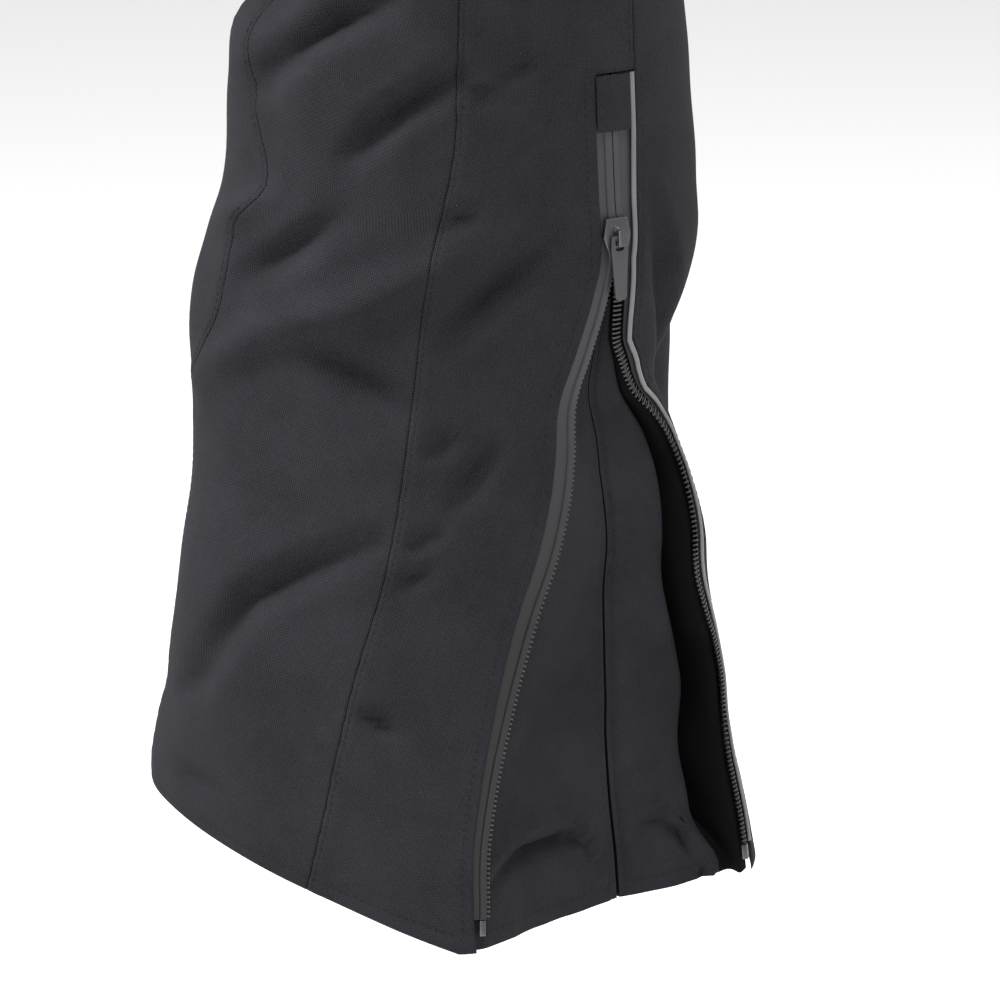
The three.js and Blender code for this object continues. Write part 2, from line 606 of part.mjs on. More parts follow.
function buckleFrame() {
  const y = (distance) => BELT_FRONT + distance;
  const ear = [[-17, y(1.4)], [-13, y(4.2)], [10, y(4.2)], [17, BAR_Y + 3.4], [24, BAR_Y + 1.5],
    [24, y(-1.5)], [12, y(-5)], [3, y(-9.5)], [-4, y(-11)], [-10, y(-9)], [-17, y(-2)]];
  const ears = [
    plate(ear, BELT_MIDDLE + earNear, BELT_MIDDLE + earNear + EAR),
    plate(ear, BELT_MIDDLE - earNear - EAR, BELT_MIDDLE - earNear),
  ];
  const low = BELT_MIDDLE - earNear - EAR / 2;
  const high = BELT_MIDDLE + earNear + EAR / 2;
  const bed = block([-14, y(BELT_THICK / 2 + 0.9), low], [9, y(BELT_THICK / 2 + 2.4), high]);
  const bar = rod(BAR_RADIUS, BAR_X, BAR_Y, low, high);
  const pin = rod(PIN_RADIUS, PIVOT_X, PIVOT_Y, low, high);
  return joined(...ears, bed, bar, pin);
}

function buckleLever() {
  const low = BELT_MIDDLE - earNear + 0.6;
  const high = BELT_MIDDLE + earNear - 0.6;
  const hub = rod(HUB_RADIUS, PIVOT_X, PIVOT_Y, low, high);
  const arm = plate(
    [[PIVOT_X - 1, PIVOT_Y - 3.6], [PIVOT_X + 20, PIVOT_Y - 3.6], [PIVOT_X + 27, PIVOT_Y - 5.4],
      [PIVOT_X + 27, PIVOT_Y - 3.4], [PIVOT_X + 20, PIVOT_Y - 1.4], [PIVOT_X - 1, PIVOT_Y - 0.9]].reverse(),
    low,
    high,
  );
  const nose = plate(
    [[PIVOT_X - 2.6, PIVOT_Y + 2.4], [PIVOT_X - 1.8, PIVOT_Y + 5.2], [PIVOT_X + 1.2, PIVOT_Y + 5.2],
      [PIVOT_X + 2.6, PIVOT_Y + 2.4]].reverse(),
    low,
    high,
  );
  const bore = rod(PIN_RADIUS + 0.3, PIVOT_X, PIVOT_Y, low - 1, high + 1);
  return cut(joined(hub, arm, nose), bore);
}

// ---- Assembly -------------------------------------------------------------------------------

function named(name, geometry, material) {
  const mesh = new THREE.Mesh(geometry, material);
  mesh.name = name;
  return mesh;
}

const group = new THREE.Group();
for (const [side, open] of [["left_", true], ["right_", false]]) {
  const { place, pieces } = makeLeg(open);
  const loops = [[-45, "front"], [-8, "side"], [26, "back"]].map(([degrees, where]) => [
    "belt_loop_" + where,
    beltLoop(degrees),
    WEBBING,
  ]);
  const moving = [
    ["zip_slider", sliderSolid().applyMatrix4(place), SLIDER_METAL],
    ["zip_puller", pullerSolid().applyMatrix4(place), PULL_TAB],
  ];
  for (const [name, geometry, material] of [...pieces, ...loops, ...moving])
    group.add(named(side + name, side === "left_" ? geometry : mirrored(geometry), material));
}
group.add(
  named("belt_webbing", beltSolid(), WEBBING),
  named("belt_keeper", keeperSolid(), WEBBING),
  named("buckle_frame", buckleFrame(), BUCKLE_METAL),
  named("buckle_lever", buckleLever(), BUCKLE_METAL),
);
group.position.z = -BELT_MIDDLE;

export default group;
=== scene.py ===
# Chainsaw chaps: two padded leg tubes hung from a webbing belt and open at the seat. Each leg's outer
# side opens at the ankle with a zip over a folded gusset; the left one is open and the right one shut.
# Blender works in metres; sizes below are in millimetres, as the cloth was cut, with rows up the leg
# from the hem and degrees round it: 0 is the outer side, 90 the back, 180 the inner side, -90 the front.
import math
from types import SimpleNamespace

import bpy
import numpy as np
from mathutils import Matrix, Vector


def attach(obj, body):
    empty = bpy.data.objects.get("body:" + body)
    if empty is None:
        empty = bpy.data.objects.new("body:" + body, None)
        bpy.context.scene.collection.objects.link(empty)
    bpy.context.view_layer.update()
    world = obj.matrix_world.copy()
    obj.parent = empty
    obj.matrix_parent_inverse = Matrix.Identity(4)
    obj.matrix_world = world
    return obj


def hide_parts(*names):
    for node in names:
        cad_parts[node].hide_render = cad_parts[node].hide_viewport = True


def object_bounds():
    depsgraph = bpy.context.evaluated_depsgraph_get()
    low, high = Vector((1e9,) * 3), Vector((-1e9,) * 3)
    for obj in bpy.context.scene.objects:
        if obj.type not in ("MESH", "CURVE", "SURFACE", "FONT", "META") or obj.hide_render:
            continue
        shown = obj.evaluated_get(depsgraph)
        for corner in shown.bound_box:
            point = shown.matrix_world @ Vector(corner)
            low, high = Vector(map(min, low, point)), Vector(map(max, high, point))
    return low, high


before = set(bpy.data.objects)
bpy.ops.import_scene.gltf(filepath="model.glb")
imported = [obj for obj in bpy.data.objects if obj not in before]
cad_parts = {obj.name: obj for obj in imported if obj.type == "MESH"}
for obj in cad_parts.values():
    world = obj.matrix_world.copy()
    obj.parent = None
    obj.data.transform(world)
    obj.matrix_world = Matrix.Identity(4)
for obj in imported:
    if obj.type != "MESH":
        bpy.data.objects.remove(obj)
cad_low, cad_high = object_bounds()
scene = bpy.context.scene

# ---- Camera ---------------------------------------------------------------------------------
# It stands off the wearer's left side and looks slightly down at the open ankle zip. The lens is
# long, so that the lower leg fills the frame with little perspective.
LOOK_AT = Vector((0.105, 0.025, -0.786))
CAMERA_DISTANCE = 2.6
CAMERA_RISE = math.radians(16)
FRAME_WIDTH = 0.42  # at the distance looked at

camera = bpy.data.objects.new("camera", bpy.data.cameras.new("camera"))
scene.collection.objects.link(camera)
away = Vector((math.cos(CAMERA_RISE), 0, math.sin(CAMERA_RISE)))
camera.location = LOOK_AT + away * CAMERA_DISTANCE
camera.rotation_euler = away.to_track_quat("Z", "Y").to_euler()
camera.data.sensor_width = 36
camera.data.lens = camera.data.sensor_width * CAMERA_DISTANCE / FRAME_WIDTH
camera.data.clip_end = 50
scene.camera = camera

# ---- Room -----------------------------------------------------------------------------------
# A plain white floor some way below the hems, and soft light: a large key lamp in front and above,
# a weaker one behind the leg, one overhead, and an even white sky.
FLOOR_DROP = 0.35
FLOOR_REACH = 12.0
scene.view_settings.view_transform = "Standard"

floor_mesh = bpy.data.meshes.new("floor")
floor_corners = [(x * FLOOR_REACH, y * FLOOR_REACH, 0) for x, y in ((-1, -1), (1, -1), (1, 1), (-1, 1))]
floor_mesh.from_pydata(floor_corners, [], [(0, 1, 2, 3)])
floor = bpy.data.objects.new("floor", floor_mesh)
floor.location.z = cad_low.z - FLOOR_DROP
scene.collection.objects.link(floor)
floor_paint = bpy.data.materials.new("floor_paint")
floor_paint.use_nodes = True
paint = floor_paint.node_tree.nodes["Principled BSDF"].inputs
paint["Base Color"].default_value = (0.93, 0.93, 0.93, 1)
paint["Roughness"].default_value = 0.9
floor_mesh.materials.append(floor_paint)


def soft_lamp(name, place, size, power, aim=LOOK_AT):
    lamp = bpy.data.objects.new(name, bpy.data.lights.new(name, "AREA"))
    lamp.data.size = size
    lamp.data.energy = power
    lamp.location = place
    lamp.rotation_euler = (Vector(place) - aim).to_track_quat("Z", "Y").to_euler()
    scene.collection.objects.link(lamp)


soft_lamp("key_lamp", (0.5, -1.9, 1.3), 0.6, 105)
soft_lamp("back_lamp", (-1.2, 2.4, 0.9), 1.2, 34)
soft_lamp("top_lamp", (0.9, 0.3, 2.0), 0.9, 55)
sky = bpy.data.worlds.new("sky")
sky.use_nodes = True
sky.node_tree.nodes["Background"].inputs["Color"].default_value = (1, 1, 1, 1)
sky.node_tree.nodes["Background"].inputs["Strength"].default_value = 0.62
scene.world = sky

# ---- Outer cloth ------------------------------------------------------------------------------
# Charcoal softshell twill, 1.2 mm thick, cut in four panels a leg: back, inner, front and side. They
# are sewn edge to edge with the allowances pressed to one side, and hang in soft folds.
MM = 0.001
BELT_MIDDLE = 960  # above the hem, and the frame's zero height
OUTSIDE_LEG = 990
INSIDE_LEG = 760
WAIST_HALF_WIDTH = 165
WAIST_HALF_DEPTH = 115
SPACING_HEM = 105
SPACING_CROTCH = 93
TOE_OUT = math.radians(6)
SHELL = 1.2
SEAM_GAP = 0.3
ZIP_TOP = 364
CHAIN_ANGLE = 39.2
SLIDER_FROM = 284
INSEAM = 172
GATHERED_BY = 898  # the height where the leg's round has become the waist's oval
KNEE = 410.0  # rows are closer together below it
FOLDS_END = (800, 880)  # the rows over which the folds fade out towards the waist
ZIP_HELD = (8, 25)  # the cloth hangs flat this near the zip, and freely this far from it
MM_A_DEGREE = 1.3  # round the leg beside the zip, about
CLOTH_COLOUR = (0.0246, 0.0233, 0.0284)


def through(*stations):
    """A smooth curve through (place, value) stations, level beyond its ends."""
    x, v = np.array(stations, float).T
    last = len(x) - 1
    before = np.maximum(np.arange(last + 1) - 1, 0)
    after = np.minimum(np.arange(last + 1) + 1, last)
    slope = (v[after] - v[before]) / (x[after] - x[before])

    def value(at):
        at = np.clip(at, x[0], x[-1])
        i = np.clip(np.searchsorted(x, at, side="right") - 1, 0, last - 1)
        h = x[i + 1] - x[i]
        t = (at - x[i]) / h
        return (v[i] * (2 * t**3 - 3 * t**2 + 1) + v[i + 1] * (3 * t**2 - 2 * t**3)
                + h * slope[i] * (t**3 - 2 * t**2 + t) + h * slope[i + 1] * (t**3 - t**2))

    return value


def ease(low, high, x):
    t = np.clip((x - low) / (high - low), 0, 1)
    return t * t * (3 - 2 * t)


def unit(v):
    return v / np.maximum(np.linalg.norm(v, axis=-1, keepdims=True), 1e-12)


# How far the cloth reaches from a leg's centreline, by height, with the zip open and with it shut.
OPEN_REACH = {
    "front": through((0, 127), (30, 126), (73, 123), (95, 117), (138, 112), (182, 105), (226, 103.5),
                     (269, 102), (291, 96), (313, 90), (357, 87), (379, 84), (400, 68), (425, 74),
                     (480, 95), (600, 101), (760, 108), (990, 112)),
    "back": through((0, 136), (29, 132), (73, 123), (95, 121), (138, 113), (160, 112), (182, 106),
                    (204, 98), (226, 91), (248, 98), (269, 105), (291, 109), (313, 107), (357, 104),
                    (400, 102), (600, 101), (760, 112), (990, 112)),
    "outer": through((0, 80), (60, 72), (120, 66), (200, 62), (300, 60), (400, 62), (480, 66), (600, 74),
                     (760, 84), (990, 84)),
    "inner": through((0, 64), (120, 58), (300, 57), (480, 63), (600, 72), (760, 88), (990, 88)),
}
CALF = 345
SHUT_HEM = {"front": 96, "back": 96, "outer": 59, "inner": 55}


def drawn_in(side):
    reach, hem = OPEN_REACH[side], SHUT_HEM[side]
    return lambda height: np.where(height < CALF, hem + (reach(CALF) - hem) * np.maximum(height, 0) / CALF,
                                   reach(height))


SHUT_REACH = {side: drawn_in(side) for side in OPEN_REACH}
top_drop = through((-180, 1), (-150, 0.86), (-120, 0.42), (-92, 0.04), (-60, 0), (40, 0), (62, 0.28),
                   (90, 0.86), (130, 0.98), (180, 1))
waist_angle = through((-180, -112), (-135, -86), (-90, -62), (0, 0), (60, 42), (90, 60), (180, 112))


def row_height(angle, row):
    """The height of a row: the hem rises to the front and inside, and the top edge falls behind."""
    s, c = np.sin(np.radians(angle)), np.cos(np.radians(angle))
    hem = 50 * np.maximum(0, -s) + 5 * np.maximum(0, s) + 12 * (1 - c) / 2
    return (row + hem * np.maximum(0, 1 - row / 110)
            - (OUTSIDE_LEG - INSIDE_LEG) * top_drop(angle) * ease(500, OUTSIDE_LEG, row))


# Folds as lines of (mm round from the outer side, row): valleys go in and ridges come out.
LEFT_FOLDS = [  # depth, half width, points
    (6, 9, (-37, 398), (-65, 387), (-80, 375), (-103, 358)),
    (5, 7, (1, 366), (-25, 353), (-48, 334)),
    (2, 3.5, (6, 359), (15, 359)),
    (2, 3.5, (22, 366), (34, 372)),
    (5, 8, (-55, 305), (-72, 293), (-91, 280)),
    (4, 8, (-54, 253), (-37, 243), (-22, 231)),
    (5, 7, (41, 297), (18, 278), (-4, 257)),
    (5, 8, (-32, 173), (-60, 159), (-81, 145), (-94, 122), (-105, 94)),
    (2, 3.5, (-19, 171), (-6, 178)),
    (2, 3.5, (-21, 155), (-10, 162)),
    (2, 3.5, (-11, 211), (0, 216)),
    (2, 3.5, (-4, 306), (8, 310)),
    (3, 5, (17, 211), (1, 191)),
    (1.4, 7, (-101, 38), (-85, 32)),
    (3, 5, (-33, 99), (-22, 90)),
    (5, 7, (78, 306), (92, 274), (125, 227)),
    (-4, 9, (-2, 291), (-46, 270), (-80, 259), (-116, 231)),
    (-3, 8, (-114, 301), (-87, 312)),
]
SHARED_FOLDS = [
    (4, 11, (100, 452), (150, 446), (215, 462)),
    (3.5, 9, (118, 428), (160, 418), (205, 424)),
    (3, 10, (-150, 455), (-190, 440), (-240, 452)),
    (3, 13, (-60, 700), (-75, 600), (-70, 520)),
    (3, 14, (60, 760), (70, 660), (66, 560)),
    (3.5, 14, (-10, 800), (-22, 690), (-18, 610)),
    (3, 11, (200, 640), (150, 600), (95, 540)),
    (3, 10, (-215, 650), (-170, 590), (-125, 545)),
    (3, 12, (170, 120), (182, 210), (176, 290)),
    (3, 12, (-195, 80), (-205, 190), (-190, 280)),
]
RIGHT_FOLDS = [
    (3, 12, (-80, 60), (-92, 160), (-84, 260)),
    (3, 10, (-120, 400), (-80, 378), (-50, 372)),
    (3, 9, (108, 300), (140, 270), (170, 262)),
]
FOLD_SIZE = 1.65
# Millimetres round the leg to an angle, by the ellipse that a lower leg nearly is.
ellipse = np.radians(np.linspace(-180, 180, 721))
ellipse_step = np.hypot(62 * np.sin(ellipse), 100 * np.cos(ellipse))[1:] * (ellipse[1] - ellipse[0])
ellipse_arc = np.concatenate([[0], np.cumsum(ellipse_step)])
ellipse_arc -= ellipse_arc[len(ellipse_arc) // 2]


def fold_line(arc, row, depth, wide, *points):
    """What one fold adds to the surface: a rounded groove with low shoulders, fading at its ends."""
    corners = np.array(points, float)
    steps = np.diff(corners, axis=0)
    lengths = np.linalg.norm(steps, axis=1)
    nearest = np.full(np.shape(arc), 1e9)
    along = np.zeros(np.shape(arc))
    for k, step in enumerate(steps):
        ahead = (arc - corners[k, 0]) * step[0] + (row - corners[k, 1]) * step[1]
        t = np.clip(ahead / lengths[k] ** 2, 0, 1)
        apart = np.hypot(arc - corners[k, 0] - t * step[0], row - corners[k, 1] - t * step[1])
        closer = apart < nearest
        nearest = np.where(closer, apart, nearest)
        along = np.where(closer, (lengths[:k].sum() + t * lengths[k]) / lengths.sum(), along)
    d = (nearest / wide) ** 2
    return -FOLD_SIZE * depth * (0.4 + 0.6 * np.sin(np.pi * along)) * (1 - 0.45 * d) * np.exp(-0.8 * d)


def make_leg(name, sign, is_open, folds, phase):
    """The shape of one leg: a place on its skin, seam lines round it, and everything beside them."""
    reach = OPEN_REACH if is_open else SHUT_REACH

    def skin(theta, row):
        theta, row = np.broadcast_arrays(np.asarray(theta, float), np.asarray(row, float))
        angle = (theta + 180) % 360 - 180
        height = row_height(angle, row)
        s, c = np.sin(np.radians(angle)), np.cos(np.radians(angle))
        back = np.where(s > 0, reach["back"](height), reach["front"](height)) * s
        out = np.where(c > 0, reach["outer"](height), reach["inner"](height)) * c
        spacing = SPACING_HEM + (SPACING_CROTCH - SPACING_HEM) * np.clip(height / INSIDE_LEG, 0, 1)
        x = spacing + out * math.cos(TOE_OUT) - back * math.sin(TOE_OUT)
        y = out * math.sin(TOE_OUT) + back * math.cos(TOE_OUT)
        gathered = ease(INSIDE_LEG, GATHERED_BY, height)
        turn = np.radians(waist_angle(angle))
        x = x + (WAIST_HALF_WIDTH * np.cos(turn) - x) * gathered
        y = y + (WAIST_HALF_DEPTH * np.sin(turn) - y) * gathered
        return np.stack([x, y, height], axis=-1)

    def outward(theta, row):
        d = 1e-3
        return unit(np.cross(skin(np.add(theta, d), row) - skin(np.subtract(theta, d), row),
                             skin(theta, np.add(row, d)) - skin(theta, np.subtract(row, d))))

    def drape(theta, row):
        """How far the folds move the cloth out of its plain shape. The chain's path stays flat."""
        angle = (theta + 180) % 360 - 180
        arc = np.interp(np.radians(angle), ellipse, ellipse_arc)
        moved = sum(fold_line(arc, row, *fold) for fold in folds + SHARED_FOLDS)
        turn = np.radians(angle)
        for k, wave, size in ((2, 260, 1.0), (3, 170, 0.8), (5, 118, 0.55), (4, 74, 0.45), (7, 92, 0.35)):
            moved = moved + size * np.sin(k * turn + 2 * np.pi * row / wave + phase * k) * np.sin(
                (k + 1) * turn - 2 * np.pi * row / (1.7 * wave) + phase)
        to_zip = np.minimum(np.abs(angle - zip_front(row)), np.abs(angle - zip_back(row)))
        held = (1 - ease(*ZIP_HELD, to_zip * MM_A_DEGREE)) * (1 - ease(ZIP_TOP + 10, ZIP_TOP + 45, row))
        if is_open:
            held = held * (0.85 + 0.15 * ease(258, 280, row))
        return moved * (1 - held) * (1 - ease(*FOLDS_END, row))

    def place(theta, row, depth=0.0, folded=True):
        """A point so far under the outside of the cloth, in the frame's metres."""
        theta, row = np.broadcast_arrays(np.asarray(theta, float), np.asarray(row, float))
        moved = drape(theta, row) if folded else 0.0
        p = skin(theta, row) + outward(theta, row) * np.asarray(moved - depth)[..., None]
        return (p - [0, 0, BELT_MIDDLE]) * [sign * MM, MM, MM]

    def beside(line, distance):
        """The line that runs so far further round the leg than another, measured square to it."""
        def moved(row):
            theta = line(row)
            per_degree = np.linalg.norm(skin(theta + 0.5, row) - skin(theta - 0.5, row), axis=-1)
            lean = (line(row + 0.4) - line(row - 0.4)) / 0.8 * per_degree
            away = distance(row) if callable(distance) else distance
            return theta + away * np.hypot(1, lean) / per_degree
        return moved

    def chain(row):
        return CHAIN_ANGLE + 0 * np.asarray(row, float)

    zip_front = ZIP_OPEN_FRONT if is_open else chain
    zip_back = ZIP_OPEN_BACK if is_open else chain
    front_gap = TAPE_SHOWN if is_open else (lambda row: TAPE_SHOWN(SLIDER_FROM) + 0 * row)
    shut_gap = lambda row: np.where(np.asarray(row) > SLIDER_FROM, SLOT_BACK(row), SLOT_BACK(SLIDER_FROM))
    back_edge = beside(zip_back, SLOT_BACK if is_open else shut_gap)
    shown_edge = beside(zip_front, lambda row: -front_gap(row))
    side_edge = lambda row: 360 + np.where(np.asarray(row) < ZIP_TOP, shown_edge(row), back_edge(row))
    return SimpleNamespace(
        name=name, sign=sign, is_open=is_open, skin=skin, place=place, beside=beside,
        chain=chain, zip_front=zip_front, zip_back=zip_back, back_edge=back_edge, side_edge=side_edge,
        shown_edge=lambda row: 360 + shown_edge(row), back_edge_round=lambda row: 360 + back_edge(row),
        inseam=lambda row: INSEAM + 0 * np.asarray(row, float),
        front=lambda row: 360 + SEAM_FRONT(row), middle=lambda row: 360 + SEAM_MIDDLE(row))


SEAM_MIDDLE = through((0, -30), (55, -25.6), (106, -22.4), (157, -15.6), (225, -10), (287, -6), (345, 0.5),
                      (600, 0), (990, -8))
SEAM_FRONT = through((0, -97), (160, -92), (225, -85), (263, -66), (298, -66), (316, -57), (336, -61),
                     (365, -71), (600, -84), (990, -80))
ZIP_OPEN_FRONT = through((0, 5), (14, 5.2), (47, 6), (98, 11.2), (139, 18), (202, 31), (236, 36),
                         (SLIDER_FROM, CHAIN_ANGLE))
ZIP_OPEN_BACK = through((0, 75), (27, 77.5), (57, 79), (80, 85), (108, 85), (120, 80), (139, 74),
                        (155, 71.5), (185, 78), (200, 77.5), (214, 71), (226, 60), (239, 50.7),
                        (251, 44.3), (SLIDER_FROM, CHAIN_ANGLE))
TAPE_SHOWN = through((0, 4.6), (14, 6), (67, 6.5), (143, 8.5), (212, 8.5), (SLIDER_FROM, 7.2))
SLOT_BACK = through((0, 6.8), (215, 7.2), (SLIDER_FROM, 9.8), (340, 12.5))
LEGS = [make_leg("left", 1, True, LEFT_FOLDS, 0.7), make_leg("right", -1, False, RIGHT_FOLDS, 2.1)]


def rows_up(leg, low=0.0, high=float(OUTSIDE_LEG), coarse=1.0):
    """Rows of points up a leg, closer together below the knee."""
    fine, wide = (4.4, 9.0) if leg.is_open else (8.0, 12.0)
    parts = []
    for a, b, step in ((low, min(high, KNEE), fine * coarse), (max(low, KNEE), high, wide * coarse)):
        if b > a:
            parts.append(np.linspace(a, b, max(2, round((b - a) / step) + 1)))
    return np.unique(np.round(np.concatenate(parts), 4))


def run_along(points):
    """How far each point of a line, or of every line of a grid, lies from the first."""
    steps = np.linalg.norm(np.diff(points, axis=0), axis=-1)
    return np.concatenate([0 * steps[:1], np.cumsum(steps, axis=0)])


def across(leg, start, end, rows, edges, spacing):
    """Columns of angles from one line round to another, at true distances from both edges in mm."""
    fine = np.linspace(0, 1, 61)[:, None]
    a, b = start(rows), end(rows)
    sample = a + (b - a) * fine
    run = run_along(leg.skin(sample, rows))
    width = run[-1]
    edges = np.asarray(edges, float)
    inside = max(2, round(float(width.max()) / spacing))
    theta = np.zeros((2 * len(edges) + inside - 1, len(rows)))
    from_start = np.zeros_like(theta)
    for j in range(len(rows)):
        margin = min(edges[-1], 0.42 * width[j])
        near = edges * margin / edges[-1]
        middle = np.linspace(margin, width[j] - margin, inside + 1)[1:-1]
        at = np.concatenate([near, middle, width[j] - near[::-1]])
        theta[:, j] = np.interp(at, run[:, j], sample[:, j])
        from_start[:, j] = at
    return theta, from_start, width - from_start


def grid_piece(name, outer, inner, finish, flip=False, uv=None, sharp=50, kept=None):
    """A closed sheet between two facing grids of points, (columns, rows, 3), of the cells kept."""
    columns, rows = outer.shape[:2]
    ids = np.arange(columns * rows).reshape(columns, rows)
    a, b, c, d = ids[:-1, :-1], ids[1:, :-1], ids[1:, 1:], ids[:-1, 1:]
    under = columns * rows  # the inner grid's points follow the outer one's
    kept = np.ones(a.shape, bool) if kept is None else kept
    around = np.pad(kept, 1)
    faces = np.concatenate([np.stack(corners, axis=-1)[cells] for corners, cells in (
        ((a, b, c, d), kept),
        ((a + under, d + under, c + under, b + under), kept),
        ((a, a + under, b + under, b), kept & ~around[1:-1, :-2]),
        ((d, c, c + under, d + under), kept & ~around[1:-1, 2:]),
        ((a, d, d + under, a + under), kept & ~around[:-2, 1:-1]),
        ((b, b + under, c + under, c), kept & ~around[2:, 1:-1]))])
    if flip:
        faces = faces[:, ::-1]
    used, faces = np.unique(faces, return_inverse=True)
    points = np.concatenate([outer.reshape(-1, 3), inner.reshape(-1, 3)])[used]
    plane = None if uv is None else np.concatenate([uv.reshape(-1, 2), uv.reshape(-1, 2)])[used]
    return mesh_piece(name, points, faces.reshape(-1, 4), finish, plane, sharp)


def leg_sheet(leg, label, theta, rows, near, outside, inside, finish, **settings):
    """A sheet that follows a leg from one depth under the cloth's face to another. Its cloth
    coordinates are the distance from its first edge and the row."""
    plane = np.stack([near, rows + 0 * near], axis=-1) * MM
    return grid_piece(f"{leg.name}_{label}", leg.place(theta, rows, outside), leg.place(theta, rows, inside),
                      finish, leg.sign < 0, plane, **settings)


def mesh_piece(name, points, faces, finish, plane=None, sharp=50):
    """A mesh from points and faces, smooth but for its sharp edges, with cloth coordinates if given."""
    mesh = bpy.data.meshes.new(name)
    mesh.from_pydata(points.tolist(), [], faces.tolist() if hasattr(faces, "tolist") else faces)
    mesh.polygons.foreach_set("use_smooth", [True] * len(mesh.polygons))
    mesh.set_sharp_from_angle(angle=math.radians(sharp))
    if plane is not None:
        layer = mesh.uv_layers.new(name="Cloth")
        corner = np.zeros(len(mesh.loops), np.int32)
        mesh.loops.foreach_get("vertex_index", corner)
        layer.data.foreach_set("uv", plane[corner].astype(np.float32).ravel())
    mesh.materials.append(finish)
    piece = bpy.data.objects.new(name, mesh)
    scene.collection.objects.link(piece)
    return piece


def nodes_of(name, colour, roughness, **sockets):
    """A new material with its shader's even values set, and a function that adds and wires nodes."""
    material = bpy.data.materials.new(name)
    material.use_nodes = True
    tree = material.node_tree
    shader = tree.nodes["Principled BSDF"]
    shader.inputs["Base Color"].default_value = (*colour, 1)
    shader.inputs["Roughness"].default_value = roughness
    for socket, value in sockets.items():
        shader.inputs[socket.replace("_", " ")].default_value = value

    def add(kind, wires=(), **settings):
        node = tree.nodes.new("ShaderNode" + kind)
        for key, value in settings.items():
            if hasattr(node, key):
                setattr(node, key, value)
            else:
                node.inputs[key.replace("_", " ")].default_value = value
        for source, target in wires:
            tree.links.new(source, node.inputs[target])
        return node

    def wire(source, socket):
        tree.links.new(source, shader.inputs[socket])

    return material, add, wire


def mix_colours(add, share, low, high):
    """A colour between two, by a share that a node gives."""
    ramp = add("ValToRGB", [(share, "Fac")])
    ramp.color_ramp.elements[0].color = (*low, 1)
    ramp.color_ramp.elements[1].color = (*high, 1)
    return ramp.outputs["Color"]


WAVE_STRAIGHT = 0.314  # the scale at which a wave texture has one wave a metre, along an axis
WAVE_SLANTED = 0.444  # and across both


def woven(name, colour, roughness, period, kind="twill", relief=0.25, vary=0.16, **sockets):
    """Woven cloth: crossing yarns, fibre grain, and broad patches where the dye took unevenly."""
    material, add, wire = nodes_of(name, colour, roughness, **sockets)
    place = add("TexCoord").outputs["Object"]
    cloth = add("UVMap", uv_map="Cloth").outputs["UV"]
    ways = (("X", WAVE_STRAIGHT), ("Y", WAVE_STRAIGHT))
    if kind == "twill":
        ways = (("DIAGONAL", WAVE_SLANTED), ("X", WAVE_STRAIGHT))
    warp, weft = (add("TexWave", [(cloth, "Vector")], bands_direction=way, Scale=scale / period,
                      Distortion=0.6, Detail=1.0, Detail_Scale=3.0) for way, scale in ways)
    yarns = add("Math", [(warp.outputs["Fac"], 0), (weft.outputs["Fac"], 1)], operation="MULTIPLY")
    fibre = add("TexNoise", [(place, "Vector")], Scale=1500.0, Detail=4.0, Roughness=0.8)
    patch = add("TexNoise", [(place, "Vector")], Scale=34.0, Detail=7.0, Roughness=0.68)
    grain = add("Math", [(yarns.outputs[0], 0), (fibre.outputs["Fac"], 1)], operation="ADD")
    shade = add("Math", [(grain.outputs[0], 0), (patch.outputs["Fac"], 1)], operation="ADD")
    level = add("MapRange", [(shade.outputs[0], "Value")], From_Min=0.85, From_Max=1.75)
    dark = [c * (1 - vary) for c in colour]
    light = [c * (1 + vary) for c in colour]
    wire(mix_colours(add, level.outputs["Result"], dark, light), "Base Color")
    rough = add("MapRange", [(patch.outputs["Fac"], "Value")], To_Min=roughness - 0.06,
                To_Max=min(1.0, roughness + 0.08))
    wire(rough.outputs["Result"], "Roughness")
    bump = add("Bump", [(grain.outputs[0], "Height")], Strength=relief, Distance=0.0003)
    wire(bump.outputs["Normal"], "Normal")
    return material


outer_cloth = woven("outer_cloth", CLOTH_COLOUR, 0.8, 0.0009, relief=1.0, vary=0.45, Specular_IOR_Level=0.12)
PANEL_EDGES = (0, 0.35, 0.8, 1.4, 2.0, 2.6, 3.6, 5.2, 7.6)
STITCH_IN = 2.0  # seam to its topstitching
HEM_STITCH = 7.5  # hem edge to its topstitching


def bell(distance, reach):
    """A smooth rise: 1 where the distance is none, and nearly gone at twice its reach."""
    return np.exp(-((distance / reach) ** 2))


def cloth_lift(row, from_edges, stitched, ripple):
    """How far a panel's face stands off its plain place near its edges: they roll down into the seam,
    the line of topstitching sinks in, the allowance under it stands out, and the seam puckers."""
    lift = -0.9 * np.maximum(0, 1 - row / 1.6) ** 2 - 0.22 * bell(row - HEM_STITCH, 1.0)
    for distance, has_stitching in zip(from_edges, stitched):
        lift = lift - 0.55 * np.maximum(0, 1 - distance / 0.9) ** 2
        pucker = np.sin(row * 2 * np.pi / 8.7 + ripple) * np.sin(row * 2 * np.pi / 31 + 2 * ripple)
        lift = lift + 0.22 * pucker * np.exp(-distance / 5.0)
        if has_stitching:
            lift = lift - 0.3 * bell(distance - STITCH_IN, 0.6)
            lift = lift + 0.3 * (1 - ease(5.0, 8.5, distance)) * ease(0.4, 2.0, distance)
    return lift


def cut_size(plain):
    """The flat size a grid of unfolded cloth was cut to, as (width, length), and its area."""
    over = np.linalg.norm(np.diff(plain, axis=0), axis=-1).sum(axis=0).max()
    up = np.linalg.norm(np.diff(plain, axis=1), axis=-1).sum(axis=1).max()
    sides = np.cross(plain[1:, :-1] - plain[:-1, :-1], plain[:-1, 1:] - plain[:-1, :-1])
    return (float(over), float(up)), float(min(np.linalg.norm(sides, axis=-1).sum(), over * up))


